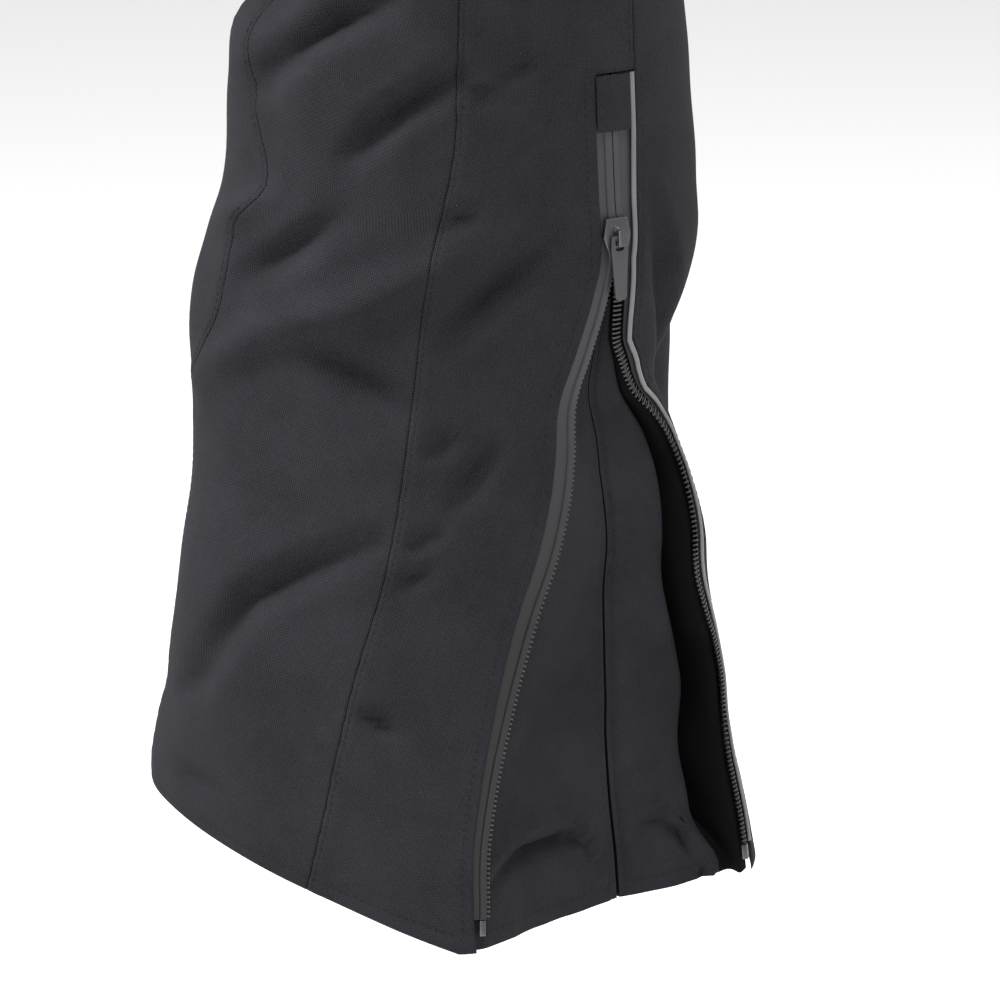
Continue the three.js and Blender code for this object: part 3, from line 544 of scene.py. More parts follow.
def declare(piece, node):
    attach(piece, "garment")
    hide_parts(node)


def declare_cloth(piece, plain, node):
    declare(piece, node)


BUTTED = 0.03  # from a seam line to the cloth on each side of it
HEM_ROWS = (0.5, 1.1, 1.8, 6.2, 7.5, 8.8)  # where the hem rolls and its stitches sink
SLOT_TOP_ROWS = (-1.5, -0.6, 0, 0.6, 1.3, 2.4)  # above the zip's top end
for leg in LEGS:
    rows = np.unique(np.concatenate([rows_up(leg), HEM_ROWS, ZIP_TOP + np.array(SLOT_TOP_ROWS)]))
    spacing = 5.5 if leg.is_open else 9.0
    for part, start, end, stitched in (("back_panel", leg.back_edge, leg.inseam, (False, True)),
                                       ("inner_panel", leg.inseam, leg.front, (False, True)),
                                       ("front_panel", leg.front, leg.middle, (False, False)),
                                       ("side_panel", leg.middle, leg.shown_edge, (True, False))):
        theta, near, far = across(leg, leg.beside(start, BUTTED), leg.beside(end, -BUTTED), rows,
                                  PANEL_EDGES, spacing)
        kept, top_edge = None, 0
        if part == "side_panel":  # above the slot it runs on to the back panel
            more, more_near, more_far = across(leg, leg.beside(end, -BUTTED),
                                               leg.beside(leg.back_edge_round, -BUTTED), rows,
                                               PANEL_EDGES, 4.0)
            kept = np.ones((len(theta) + len(more) - 2, len(rows) - 1), bool)
            kept[len(theta) - 1:, rows[:-1] < ZIP_TOP] = False
            top_edge = np.zeros((len(theta) + len(more) - 1, len(rows)))
            top_edge[len(theta):] = -np.clip(1 - (rows - ZIP_TOP) / 1.3, 0, 1) ** 2
            far = np.concatenate([np.where(rows < ZIP_TOP, far, far + more_far[0]), more_far[1:]])
            near = np.concatenate([near, near[-1] + more_near[1:]])
            theta = np.concatenate([theta, more[1:]])
        lift = cloth_lift(rows, (near, far), stitched, ripple=len(part)) + top_edge
        panel = leg_sheet(leg, f"outer_{part}", theta, rows, near, -lift, SHELL, outer_cloth, kept=kept)
        declare_cloth(panel, leg.place(theta, rows, 0, folded=False), f"{leg.name}_{part}")

# ---- Seam tapes -------------------------------------------------------------------------------
# Thin black nylon tape, 16 mm wide, bonded behind each sewn seam over the raw edges of its pressed
# allowances: the seams between the panels and, above the zip, the side seam.
SEAM_TAPE_HALF = 8
SEAM_TAPE_DEPTH = 1.25
SEAM_TAPE = 0.3

seam_nylon = woven("seam_nylon", (0.02, 0.02, 0.022), 0.7, 0.0009, kind="plain")
for leg in LEGS:
    for label, line, first in (("princess", leg.middle, 0.8), ("front", leg.front, 0.8),
                               ("inseam", leg.inseam, 0.8), ("side", leg.back_edge_round, ZIP_TOP + 1.5)):
        rows = rows_up(leg, first, OUTSIDE_LEG - 1)
        theta, near, far = across(leg, leg.beside(line, -SEAM_TAPE_HALF), leg.beside(line, SEAM_TAPE_HALF),
                                  rows, (0, 2.5), 2.8)
        behind = leg_sheet(leg, f"seam_tape_{label}", theta, rows, near, SEAM_TAPE_DEPTH,
                           SEAM_TAPE_DEPTH + SEAM_TAPE, seam_nylon)
        flat, area = cut_size(leg.place(theta, rows, 0, folded=False))
        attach(behind, "garment")

# ---- Hem facing -------------------------------------------------------------------------------
# A strip of the outer cloth, 14 mm deep, turned up inside each hem so that no raw edge shows. One
# row of stitches goes through it and the panels.
HEM_BAND = 14
FACING = 0.8
PAD_DEPTH = 1.6  # outside of the cloth to the pad
TAPE_TUCK = 6

for leg in LEGS:
    rows = np.linspace(0.3, HEM_BAND, 7)
    start, end = leg.beside(leg.back_edge, TAPE_TUCK), leg.beside(leg.side_edge, -TAPE_TUCK)
    theta, near, far = across(leg, start, end, rows, (0, 1.5, 5), 8.0)
    roll = 0.35 * np.maximum(0, 1 - rows / 3) ** 2
    facing = leg_sheet(leg, "turned_hem", theta, rows, near, PAD_DEPTH - roll, PAD_DEPTH + FACING - roll,
                       outer_cloth)
    declare_cloth(facing, leg.place(theta, rows, PAD_DEPTH, folded=False), f"{leg.name}_hem_facing")

# ---- Cut-resistant pad ------------------------------------------------------------------------
# Layers of loose long fibre, 5 mm together, between the cloth and the lining over the front and
# inner side. Diagonal quilting keeps the layers from sliding.
PAD_THICK = 5
PAD_FROM = 55
PAD_ROUND = 0.4  # where it starts, from the inseam towards the front seam
QUILT_PITCH = 55

pad_fibre = woven("pad_fibre", (0.27, 0.26, 0.235), 0.95, 0.0016, kind="plain", relief=0.6, vary=0.22,
                  Sheen_Weight=0.2)
for leg in LEGS:
    rows = rows_up(leg, PAD_FROM, OUTSIDE_LEG - 1, coarse=1.5)
    start = lambda row: leg.inseam(row) + PAD_ROUND * (leg.front(row) - leg.inseam(row))
    theta, near, far = across(leg, start, leg.beside(leg.middle, -3), rows, (0, 2, 5), 11.0)
    diagonal = np.minimum(np.abs(np.sin(np.pi * (near + rows) / QUILT_PITCH)),
                          np.abs(np.sin(np.pi * (near - rows) / QUILT_PITCH)))
    swell = 0.25 + 0.75 * np.sqrt(diagonal) * ease(0, 5, near) * ease(0, 5, far)
    middle = PAD_DEPTH + 0.3 + PAD_THICK / 2
    half = (PAD_THICK / 2 - 0.3) * (0.35 + 0.65 * swell)
    pad = leg_sheet(leg, "quilted_pad", theta, rows, near, middle - half, middle + half, pad_fibre, sharp=180)
    declare(pad, f"{leg.name}_cut_resistant_pad")

# ---- Lining -----------------------------------------------------------------------------------
# Black knitted mesh, hung loosely behind the pad. It is open at the zip like the cloth outside it,
# and closes again above it.
LINING_DEPTH = 7.0
LINING = 0.8

lining_mesh = woven("lining_mesh", (0.016, 0.016, 0.018), 0.85, 0.0022, kind="plain", relief=0.7, vary=0.35,
                    Sheen_Weight=0.25, Sheen_Roughness=0.5)
LINING_BUTTED = 0.3  # from the side seam above the zip
lining_in = lambda row: (LINING_BUTTED + (TAPE_TUCK - LINING_BUTTED)
                         * (1 - ease(ZIP_TOP + 2, ZIP_TOP + 30, row)))
for leg in LEGS:
    rows = rows_up(leg, PAD_FROM, OUTSIDE_LEG, coarse=2.0)
    start = lambda row: leg.beside(leg.back_edge, lining_in(row))(row)
    end = lambda row: leg.beside(leg.side_edge, -lining_in(row))(row)
    theta, near, far = across(leg, start, end, rows, (0, 2, 5), 11.0)
    loose = 0.7 * np.sin(rows / 17.0 + near / 23.0) * np.sin(near / 31.0)
    loose = loose * ease(0, 20, near) * ease(0, 20, far)
    loose = np.abs(loose) * (1 - ease(*FOLDS_END, rows))
    lining = leg_sheet(leg, "mesh_lining", theta, rows, near, LINING_DEPTH + loose,
                       LINING_DEPTH + LINING + loose, lining_mesh)
    declare_cloth(lining, leg.place(theta, rows, LINING_DEPTH, folded=False), f"{leg.name}_lining")

# ---- Webbing edge binding ---------------------------------------------------------------------
# Narrow black polypropylene webbing, folded over the raw top edge of all the layers and stitched
# through them, right round the leg.
BINDING_TOP = 5.5  # its edge above the raw edge
BINDING_HALF = 5  # half its height
BINDING_WIDER = 1.16  # than the layers it covers
BINDING_CORNERS = 16
DEEPEST = LINING_DEPTH + LINING


def webbing_finish(name, colour, rib):
    """Narrow woven webbing: raised ribs across it, crossed by finer yarns."""
    material, add, wire = nodes_of(name, colour, 0.82, Sheen_Weight=0.2, Specular_IOR_Level=0.3)
    place = add("TexCoord").outputs["Object"]
    cloth = add("UVMap", uv_map="Cloth").outputs["UV"]
    ribs = add("TexWave", [(cloth, "Vector")], bands_direction="Y", Scale=WAVE_STRAIGHT / rib, Distortion=0.4)
    yarns = add("TexWave", [(cloth, "Vector")], bands_direction="X", Scale=WAVE_STRAIGHT / (rib * 0.55),
                Distortion=0.4)
    fuzz = add("TexNoise", [(place, "Vector")], Scale=1500.0, Detail=3.0)
    weave = add("Math", [(ribs.outputs["Fac"], 0), (yarns.outputs["Fac"], 1)], operation="MULTIPLY_ADD")
    weave.inputs[2].default_value = 0.2
    height = add("Math", [(weave.outputs[0], 0), (fuzz.outputs["Fac"], 1)], operation="ADD")
    level = add("MapRange", [(height.outputs[0], "Value")], From_Min=0.4, From_Max=1.7)
    wire(mix_colours(add, level.outputs["Result"], [c * 0.7 for c in colour], [c * 1.35 for c in colour]),
         "Base Color")
    bump = add("Bump", [(height.outputs[0], "Height")], Strength=0.6, Distance=0.0004)
    wire(bump.outputs["Normal"], "Normal")
    return material


def ring_piece(name, rings, finish, flip, plane, closed=True, sharp=50):
    """A tube whose cross-sections are given in order, (count, corners, 3), round a loop or with ends."""
    count, corners = rings.shape[:2]
    ids = np.arange(count * corners).reshape(count, corners)
    here = ids if closed else ids[:-1]
    there = np.roll(ids, -1, axis=0) if closed else ids[1:]
    faces = np.stack([here, there, np.roll(there, -1, axis=1), np.roll(here, -1, axis=1)], axis=-1)
    faces = faces.reshape(-1, 4).tolist()
    if not closed:
        faces += [ids[0].tolist(), ids[-1][::-1].tolist()]
    if flip:
        faces = [face[::-1] for face in faces]
    return mesh_piece(name, rings.reshape(-1, 3), faces, finish, plane.reshape(-1, 2), sharp)


webbing = webbing_finish("black_webbing", (0.014, 0.014, 0.0155), 0.0011)
for leg in LEGS:
    turn = np.linspace(0, 2 * np.pi, BINDING_CORNERS + 1)[:-1]
    flat = [np.abs(wave) ** 0.45 * np.sign(wave) for wave in (np.cos(turn), np.sin(turn))]
    sewn_from = leg.back_edge(np.array(float(OUTSIDE_LEG)))
    theta = np.linspace(sewn_from, sewn_from + 360, 181)[:-1]
    outer = leg.place(theta, OUTSIDE_LEG, 0)
    inner = leg.place(theta, OUTSIDE_LEG, DEEPEST)
    ahead = unit(np.roll(outer, -1, axis=0) - np.roll(outer, 1, axis=0))
    up = unit(np.cross(ahead, inner - outer)) * leg.sign
    rings = ((outer + inner)[:, None] / 2 + up[:, None] * (BINDING_TOP - BINDING_HALF) * MM
             + (outer - inner)[:, None] / 2 * BINDING_WIDER * flat[0][None, :, None]
             + up[:, None] * BINDING_HALF * MM * flat[1][None, :, None])
    plane = np.stack(np.broadcast_arrays((turn * 2.1 * MM)[None, :], run_along(outer)[:, None]), axis=-1)
    binding = ring_piece(f"{leg.name}_edge_binding", rings, webbing, leg.sign < 0, plane, sharp=60)
    declare(binding, f"{leg.name}_top_binding")

# ---- Zip tapes --------------------------------------------------------------------------------
# Woven polyester tape sewn under both edges of the slot, with a satin water-resistant film pressed on
# its face that laps over the coil. The film's colour is painted darker towards the hem, as painted shade.
# The back tape is bare where the zip stands open, and its darker woven face there also paints shade.
TAPE_DEPTH = 1.6
TAPE = 0.6
TAPE_NEAR = 4.0  # chain to the tape's thick edge
TEETH_REACH = 3.4
SHADE_BLEND = 55  # how far the film's painted shade fades, up and down


def film_finish(name, colour, roughness, coat, shade_below=None):
    """A thin pressed film: nearly even, with a faint grain, small scuffs and a soft shine. Its colour can be
    painted darker below a row of its cloth coordinates, as painted shade."""
    material, add, wire = nodes_of(name, colour, roughness, Coat_Weight=coat, Coat_Roughness=0.35,
                                   Specular_IOR_Level=0.5)
    place = add("TexCoord").outputs["Object"]
    cloud = add("TexNoise", [(place, "Vector")], Scale=60.0, Detail=5.0, Roughness=0.6)
    grain = add("TexNoise", [(place, "Vector")], Scale=1400.0, Detail=2.0)
    scuff = add("Math", [(cloud.outputs["Fac"], 0), (grain.outputs["Fac"], 1)], operation="ADD")
    level = add("MapRange", [(scuff.outputs[0], "Value")], From_Min=0.6, From_Max=1.4)
    tone = mix_colours(add, level.outputs["Result"], [c * 0.86 for c in colour], [c * 1.14 for c in colour])
    # Painted shade: below the given row the colour falls to 0.26 of itself, blending in over 55 mm each way.
    if shade_below:
        row = add("SeparateXYZ", [(add("TexCoord").outputs["UV"], 0)]).outputs["Y"]
        wear_and_shade = add("MapRange", [(row, "Value")], From_Min=(shade_below - SHADE_BLEND) * MM,
                   From_Max=(shade_below + SHADE_BLEND) * MM, To_Min=0.26).outputs["Result"]
        tone = add("VectorMath", [(tone, 0), (wear_and_shade, "Scale")], operation="SCALE").outputs[0]
    wire(tone, "Base Color")
    rough = add("MapRange", [(cloud.outputs["Fac"], "Value")], To_Min=roughness - 0.1,
                To_Max=roughness + 0.12)
    wire(rough.outputs["Result"], "Roughness")
    bump = add("Bump", [(grain.outputs["Fac"], "Height")], Strength=0.25, Distance=0.0001)
    wire(bump.outputs["Normal"], "Normal")
    return material


COVER_FROM = 3.0  # the tape's face rises over the coil, from here to the next
COVER_TO = 3.8
COVER_DEPTH = 0.45
OPEN_GAP = 0.45  # chain to the tape's face beside the open coil, and beside the shut one
SHUT_GAP = 0.25
TAPE_COLUMNS = (0, OPEN_GAP, 1.2, 2.2, 2.6, COVER_FROM, 3.4)  # close together where it rises
# The film is painted darker below row 185 of the tape, as painted shade on its lower part.
zip_film = film_finish("zip_film", (0.035, 0.034, 0.038), 0.5, 0.08, shade_below=185)
# The bare back tape's woven face, in a darker colour that also paints the shade where it turns in below the
# slider.
bare_tape = woven("bare_tape", (0.02, 0.02, 0.022), 0.7, 0.0008, kind="plain")
onward = lambda line: (lambda row: 360 + line(row))
for leg in LEGS:
    rows = rows_up(leg, HEM_BAND, ZIP_TOP - 0.5, coarse=0.8)
    front_start = leg.beside(leg.side_edge, -TAPE_TUCK)
    front_end = leg.beside(onward(leg.zip_front), -SHUT_GAP)
    back_start, back_end = leg.beside(leg.zip_back, SHUT_GAP), leg.beside(leg.back_edge, TAPE_TUCK)
    for which, start, end in (("front", front_start, front_end), ("back", back_start, back_end)):
        theta, near, far = across(leg, start, end, rows, TAPE_COLUMNS, 2.5)
        to_chain = (far if which == "front" else near) + SHUT_GAP
        covered = 1 - ease(COVER_FROM, COVER_TO, to_chain)
        if which == "back" and leg.is_open:
            covered = covered * ease(SLIDER_FROM - 4, SLIDER_FROM + 6, rows)
        parted = leg.is_open * (rows < SLIDER_FROM) & (to_chain < OPEN_GAP)
        face = TAPE_DEPTH + (COVER_DEPTH - TAPE_DEPTH) * covered
        uncovered = (covered < 0.02) & (to_chain < TAPE_NEAR) | parted
        tape = leg_sheet(leg, f"zip_{which}_film_tape", theta, rows, near, face,
                         face + TAPE * (1 - 0.3 * covered), zip_film,
                         kept=~(uncovered[:-1, :-1] | uncovered[1:, 1:]))
        # Painted shade: below the slider the open back tape takes the darker bare-tape material, its woven
        # face darkened.
        if which == "back" and leg.is_open:
            tape.data.materials.append(bare_tape)
            split = leg.place(CHAIN_ANGLE, SLIDER_FROM)[2]
            for face_of_tape in tape.data.polygons:
                face_of_tape.material_index = int(face_of_tape.center.z < split)
        declare_cloth(tape, leg.place(theta, rows, TAPE_DEPTH, folded=False),
                      f"{leg.name}_zip_{which}_tape")

# ---- Zip coils --------------------------------------------------------------------------------
# One black nylon coil sewn along each tape, a turn every 2 mm. Where the zip is shut the two coils
# mesh, each turn between two of the other's.
PITCH = 2.0
COIL_THICK = 2.4
WIRE_RADIUS = 0.44
COIL_SLANT = 0.22  # each turn's lean along the chain

coil_nylon, add, wire = nodes_of("coil_nylon", (0.012, 0.012, 0.013), 0.32, Coat_Weight=0.3,
                                 Coat_Roughness=0.2, Specular_IOR_Level=0.6)
speck = add("TexNoise", [(add("TexCoord").outputs["Object"], "Vector")], Scale=420.0, Detail=3.0)
wire(mix_colours(add, speck.outputs["Fac"], (0.009, 0.009, 0.01), (0.034, 0.034, 0.036)), "Base Color")
rough = add("MapRange", [(speck.outputs["Fac"], "Value")], To_Min=0.22, To_Max=0.5)
wire(rough.outputs["Result"], "Roughness")


def repeated(name, centres, axes, template, faces, finish):
    """Copies of one small shape at many places, as one piece: axes holds each copy's X, Y and Z."""
    points = centres[:, None] + np.einsum("kj,njc->nkc", template, axes)
    every = np.asarray(faces)[None] + (np.arange(len(centres)) * len(template))[:, None, None]
    return mesh_piece(name, points.reshape(-1, 3), every.reshape(-1, np.asarray(faces).shape[1]), finish)


def coil_turn():
    """One turn of the coil in its own axes: X away from the chain, Y up it, Z out of the leg."""
    round_steps, wire_steps = 9, 4
    a = np.linspace(0, 2 * np.pi, round_steps + 1)[:-1]
    low, high = -0.55, TEETH_REACH - WIRE_RADIUS
    squash = COIL_THICK / 2 - WIRE_RADIUS
    reach = (low + high) / 2 - (high - low) / 2 * np.cos(a)
    centre = np.stack([reach, COIL_SLANT * np.sin(a), squash * np.sin(a)], -1)
    radial = unit(np.stack([-np.cos(a) / (high - low), 0 * a, np.sin(a) / (2 * squash)], -1))
    b = np.linspace(0, 2 * np.pi, wire_steps + 1)[:-1] + np.pi / 4
    wide = np.where(np.cos(a) > 0.8, 1.25, 1.0)[:, None, None]
    points = (centre[:, None] + radial[:, None] * np.cos(b)[None, :, None] * WIRE_RADIUS
              + np.array([0, 1.0, 0]) * np.sin(b)[None, :, None] * WIRE_RADIUS * wide)
    ids = np.arange(round_steps * wire_steps).reshape(round_steps, wire_steps)
    there = np.roll(ids, -1, axis=0)
    faces = np.stack([ids, there, np.roll(there, -1, axis=1), np.roll(ids, -1, axis=1)], -1).reshape(-1, 4)
    return points.reshape(-1, 3) * MM, faces


turn_points, turn_faces = coil_turn()
COIL_DEPTH = TAPE_DEPTH + TAPE / 2
for leg in LEGS:
    for which, line, way, shift in (("front", leg.zip_front, -1, 0.0), ("back", leg.zip_back, 1, PITCH / 2)):
        rows = np.arange(HEM_BAND + 1 + shift, ZIP_TOP - 1.5, PITCH)
        centre = leg.place(line(rows), rows, COIL_DEPTH)
        out_of = unit(leg.place(line(rows), rows, -1) - leg.place(line(rows), rows, 0))
        up = unit(leg.place(line(rows + 0.5), rows + 0.5) - leg.place(line(rows - 0.5), rows - 0.5))
        away = unit(np.cross(up, out_of)) * leg.sign * way
        coil = repeated(f"{leg.name}_zip_{which}_coil", centre, np.stack([away, up, out_of], axis=1),
                        turn_points, turn_faces if way * leg.sign > 0 else turn_faces[:, ::-1], coil_nylon)
        declare(coil, f"{leg.name}_zip_{which}_teeth")

# ---- Metal of the zip -------------------------------------------------------------------------
# Die-cast zinc with a dark gunmetal plating, worn lighter along its edges: the stops at the hem, the
# slider with its bail, and the puller, which has a soft matt coat.


def cast_metal(name, colour, wear_and_shade, roughness, metallic):
    """Plated metal whose edges have rubbed bright, with faint scratches."""
    material, add, wire = nodes_of(name, colour, roughness, Metallic=metallic)
    place = add("TexCoord").outputs["Object"]
    edge = add("Bevel", Radius=0.0007)
    plain = add("NewGeometry")
    turn = add("VectorMath", [(edge.outputs["Normal"], 0), (plain.outputs["Normal"], 1)],
               operation="DOT_PRODUCT")
    rubbed = add("MapRange", [(turn.outputs["Value"], "Value")], From_Min=0.995, From_Max=0.86)
    grime = add("TexNoise", [(place, "Vector")], Scale=900.0, Detail=5.0, Roughness=0.65)
    share = add("Math", [(rubbed.outputs["Result"], 0), (grime.outputs["Fac"], 1)], operation="MULTIPLY")
    wire(mix_colours(add, share.outputs[0], colour, wear_and_shade), "Base Color")
    rough = add("MapRange", [(grime.outputs["Fac"], "Value")], To_Min=roughness - 0.1,
                To_Max=roughness + 0.15)
    wire(rough.outputs["Result"], "Roughness")
    bump = add("Bump", [(grime.outputs["Fac"], "Height")], Strength=0.12, Distance=0.0002)
    wire(bump.outputs["Normal"], "Normal")
    return material


def rounded(node, finish, width):
    """A CAD part with its edges eased, as casting and tumbling leave them."""
    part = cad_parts[node]
    part.data.materials.clear()
    part.data.materials.append(finish)
    part.data.polygons.foreach_set("use_smooth", [True] * len(part.data.polygons))
    weld = part.modifiers.new("weld", "WELD")
    weld.merge_threshold = 1e-6
    bevel = part.modifiers.new("eased_edges", "BEVEL")
    bevel.width = width
    bevel.segments = 3
    bevel.limit_method = "ANGLE"
    bevel.angle_limit = math.radians(28)
    bevel.harden_normals = True


gunmetal = cast_metal("gunmetal", (0.105, 0.104, 0.11), (0.36, 0.36, 0.37), 0.36, 0.85)
pull_coat = cast_metal("pull_coat", (0.062, 0.061, 0.066), (0.17, 0.17, 0.175), 0.48, 0.25)
for leg in LEGS:
    rounded(f"{leg.name}_zip_slider", gunmetal, 0.00045)
    rounded(f"{leg.name}_zip_puller", pull_coat, 0.0004)
    for which in ("front", "back"):
        rounded(f"{leg.name}_zip_{which}_stop", gunmetal, 0.0004)

# ---- Piping -----------------------------------------------------------------------------------
# A light grey bead of coated cord along the back edge of the slot. Its flange is sewn in between the
# cloth and the zip tape.
PIPING = 2.4

piping_coat = film_finish("piping_coat", (0.15, 0.15, 0.156), 0.45, 0.15)
for leg in LEGS:
    rows = rows_up(leg, HEM_BAND, ZIP_TOP - 0.5, coarse=0.8)
    line = leg.beside(leg.back_edge, -SEAM_GAP - PIPING / 2)
    turn = np.linspace(0, 2 * np.pi, 11)[:-1]
    centre = leg.place(line(rows), rows, 0.25)
    out_of = unit(leg.place(line(rows), rows, -1) - leg.place(line(rows), rows, 0))
    up = unit(np.gradient(centre, axis=0))
    away = unit(np.cross(up, out_of))
    rings = centre[:, None] + MM * (away[:, None] * (PIPING / 2 * np.cos(turn))[None, :, None]
                                    + out_of[:, None] * (0.75 * np.sin(turn))[None, :, None])
    plane = np.zeros((len(rows), len(turn), 2))
    bead = ring_piece(f"{leg.name}_piping_bead", rings, piping_coat, leg.sign > 0, plane, closed=False,
                      sharp=80)
    declare(bead, f"{leg.name}_zip_piping")

# ---- Zip garage -------------------------------------------------------------------------------
# A patch of the outer cloth, 24 mm long, sewn over the chain's top end so that it covers the ends of
# the coils. The slider stops below it.
GARAGE = 24

for leg in LEGS:
    rows = np.linspace(ZIP_TOP - GARAGE, ZIP_TOP - 0.8, 13)
    start = leg.beside(leg.chain, -TAPE_SHOWN(SLIDER_FROM) + SEAM_GAP)
    end = leg.beside(leg.chain, SLOT_BACK(ZIP_TOP) - PIPING - 3 * SEAM_GAP)
    theta, near, far = across(leg, start, end, rows, (0, 0.4, 1.0), 2.0)
    low_edge = np.minimum(rows - rows[0], rows[-1] - rows)
    roll = 0.3 * np.maximum(0, 1 - np.minimum(np.minimum(near, far), low_edge) / 1.0) ** 2
    crown = 0.35 * np.sin(np.pi * near / (near + far)) * np.cos(np.pi * (rows - rows[0]) / 2 / GARAGE)
    patch = leg_sheet(leg, "garage_patch", theta, rows, near, -0.4 + roll - crown, 0.2 - crown, outer_cloth)
    declare_cloth(patch, leg.place(theta, rows, 0, folded=False), f"{leg.name}_zip_garage")

# ---- Gusset -----------------------------------------------------------------------------------
# A bellows of thinner, plain woven cloth behind the zip, in two halves joined by a seam. Open, it
# spreads between the two tapes; shut, it folds flat behind the front edge of the slot.
GUSSET_TOP = 268
GUSSET_LOW = 1
GUSSET = 0.8
GUSSET_EDGE = 7.0
GUSSET_DEPTH = 2.6
HALF_GAP = 1.0
GUSSET_SEAM = through((0, 0.575), (60, 0.563), (110, 0.53), (150, 0.49), (192, 0.41))


def smooth_through(points, shares):
    """Points at shares 0 to 1 along a centripetal curve through the given ones."""
    ends = [2 * points[0] - points[1], *points, 2 * points[-1] - points[-2]]
    made = []
    for share in shares:
        p = (len(points) - 1) * share
        i = min(int(p), len(points) - 2)
        w = p - i
        p0, p1, p2, p3 = ends[i:i + 4]
        d0, d1, d2 = (max(1e-4, np.linalg.norm(b - a)) ** 0.5 for a, b in ((p0, p1), (p1, p2), (p2, p3)))
        m1 = ((p1 - p0) / d0 - (p2 - p0) / (d0 + d1) + (p2 - p1) / d1) * d1
        m2 = ((p2 - p1) / d1 - (p3 - p1) / (d1 + d2) + (p3 - p2) / d2) * d1
        made.append((2 * w**3 - 3 * w**2 + 1) * p1 + (w**3 - 2 * w**2 + w) * m1
                    + (3 * w**2 - 2 * w**3) * p2 + (w**3 - w**2) * m2)
    return np.array(made)


def gusset_line(leg, row):
    """Points across the gusset at a row, in metres: those of its front half and of its back half."""
    row = np.array(float(row))
    at = lambda line, away, depth: leg.place(leg.beside(line, away)(row), row, depth)
    if leg.is_open:
        from_seam, start = at(leg.zip_front, -GUSSET_EDGE, 3.0), at(leg.zip_front, -HALF_GAP, 4.8)
        end, to_seam = at(leg.zip_back, HALF_GAP, 4.8), at(leg.zip_back, GUSSET_EDGE, 3.0)
        over = end - start
        inwards = unit(np.array([-over[1], over[0], 0.0]))
        spread = lambda share, deep: start + over * share + inwards * deep * np.linalg.norm(over)
        folded = float(ease(0, 55, row))
        seam, turn = float(GUSSET_SEAM(row)), 0.95 - 0.09 * float(ease(2, 34, row))
        return ([from_seam, start, spread(seam / 2, 0.05), spread(seam, 0.08)],
                [spread(seam, 0.08), spread((seam + turn) / 2, 0.05), spread(turn, 0.05),
                 spread(turn + 0.04, 0.05 + 0.24 * folded), end, to_seam])
    reach = 62 + (22 - 62) * float(row) / GUSSET_TOP
    fold = DEEPEST + 1.6
    shut = lambda away, depth: at(leg.zip_front, away, depth)
    return ([shut(-GUSSET_EDGE, GUSSET_DEPTH), shut(-GUSSET_EDGE - 2.5, fold - 1.5),
             shut(-GUSSET_EDGE - 9, fold), shut(-reach, fold)],
            [shut(-reach, fold + 2.6), shut(-GUSSET_EDGE - 8, fold + 2.8), shut(0, fold + 2.2),
             shut(GUSSET_EDGE - 0.5, fold - 1), shut(GUSSET_EDGE, GUSSET_DEPTH)])


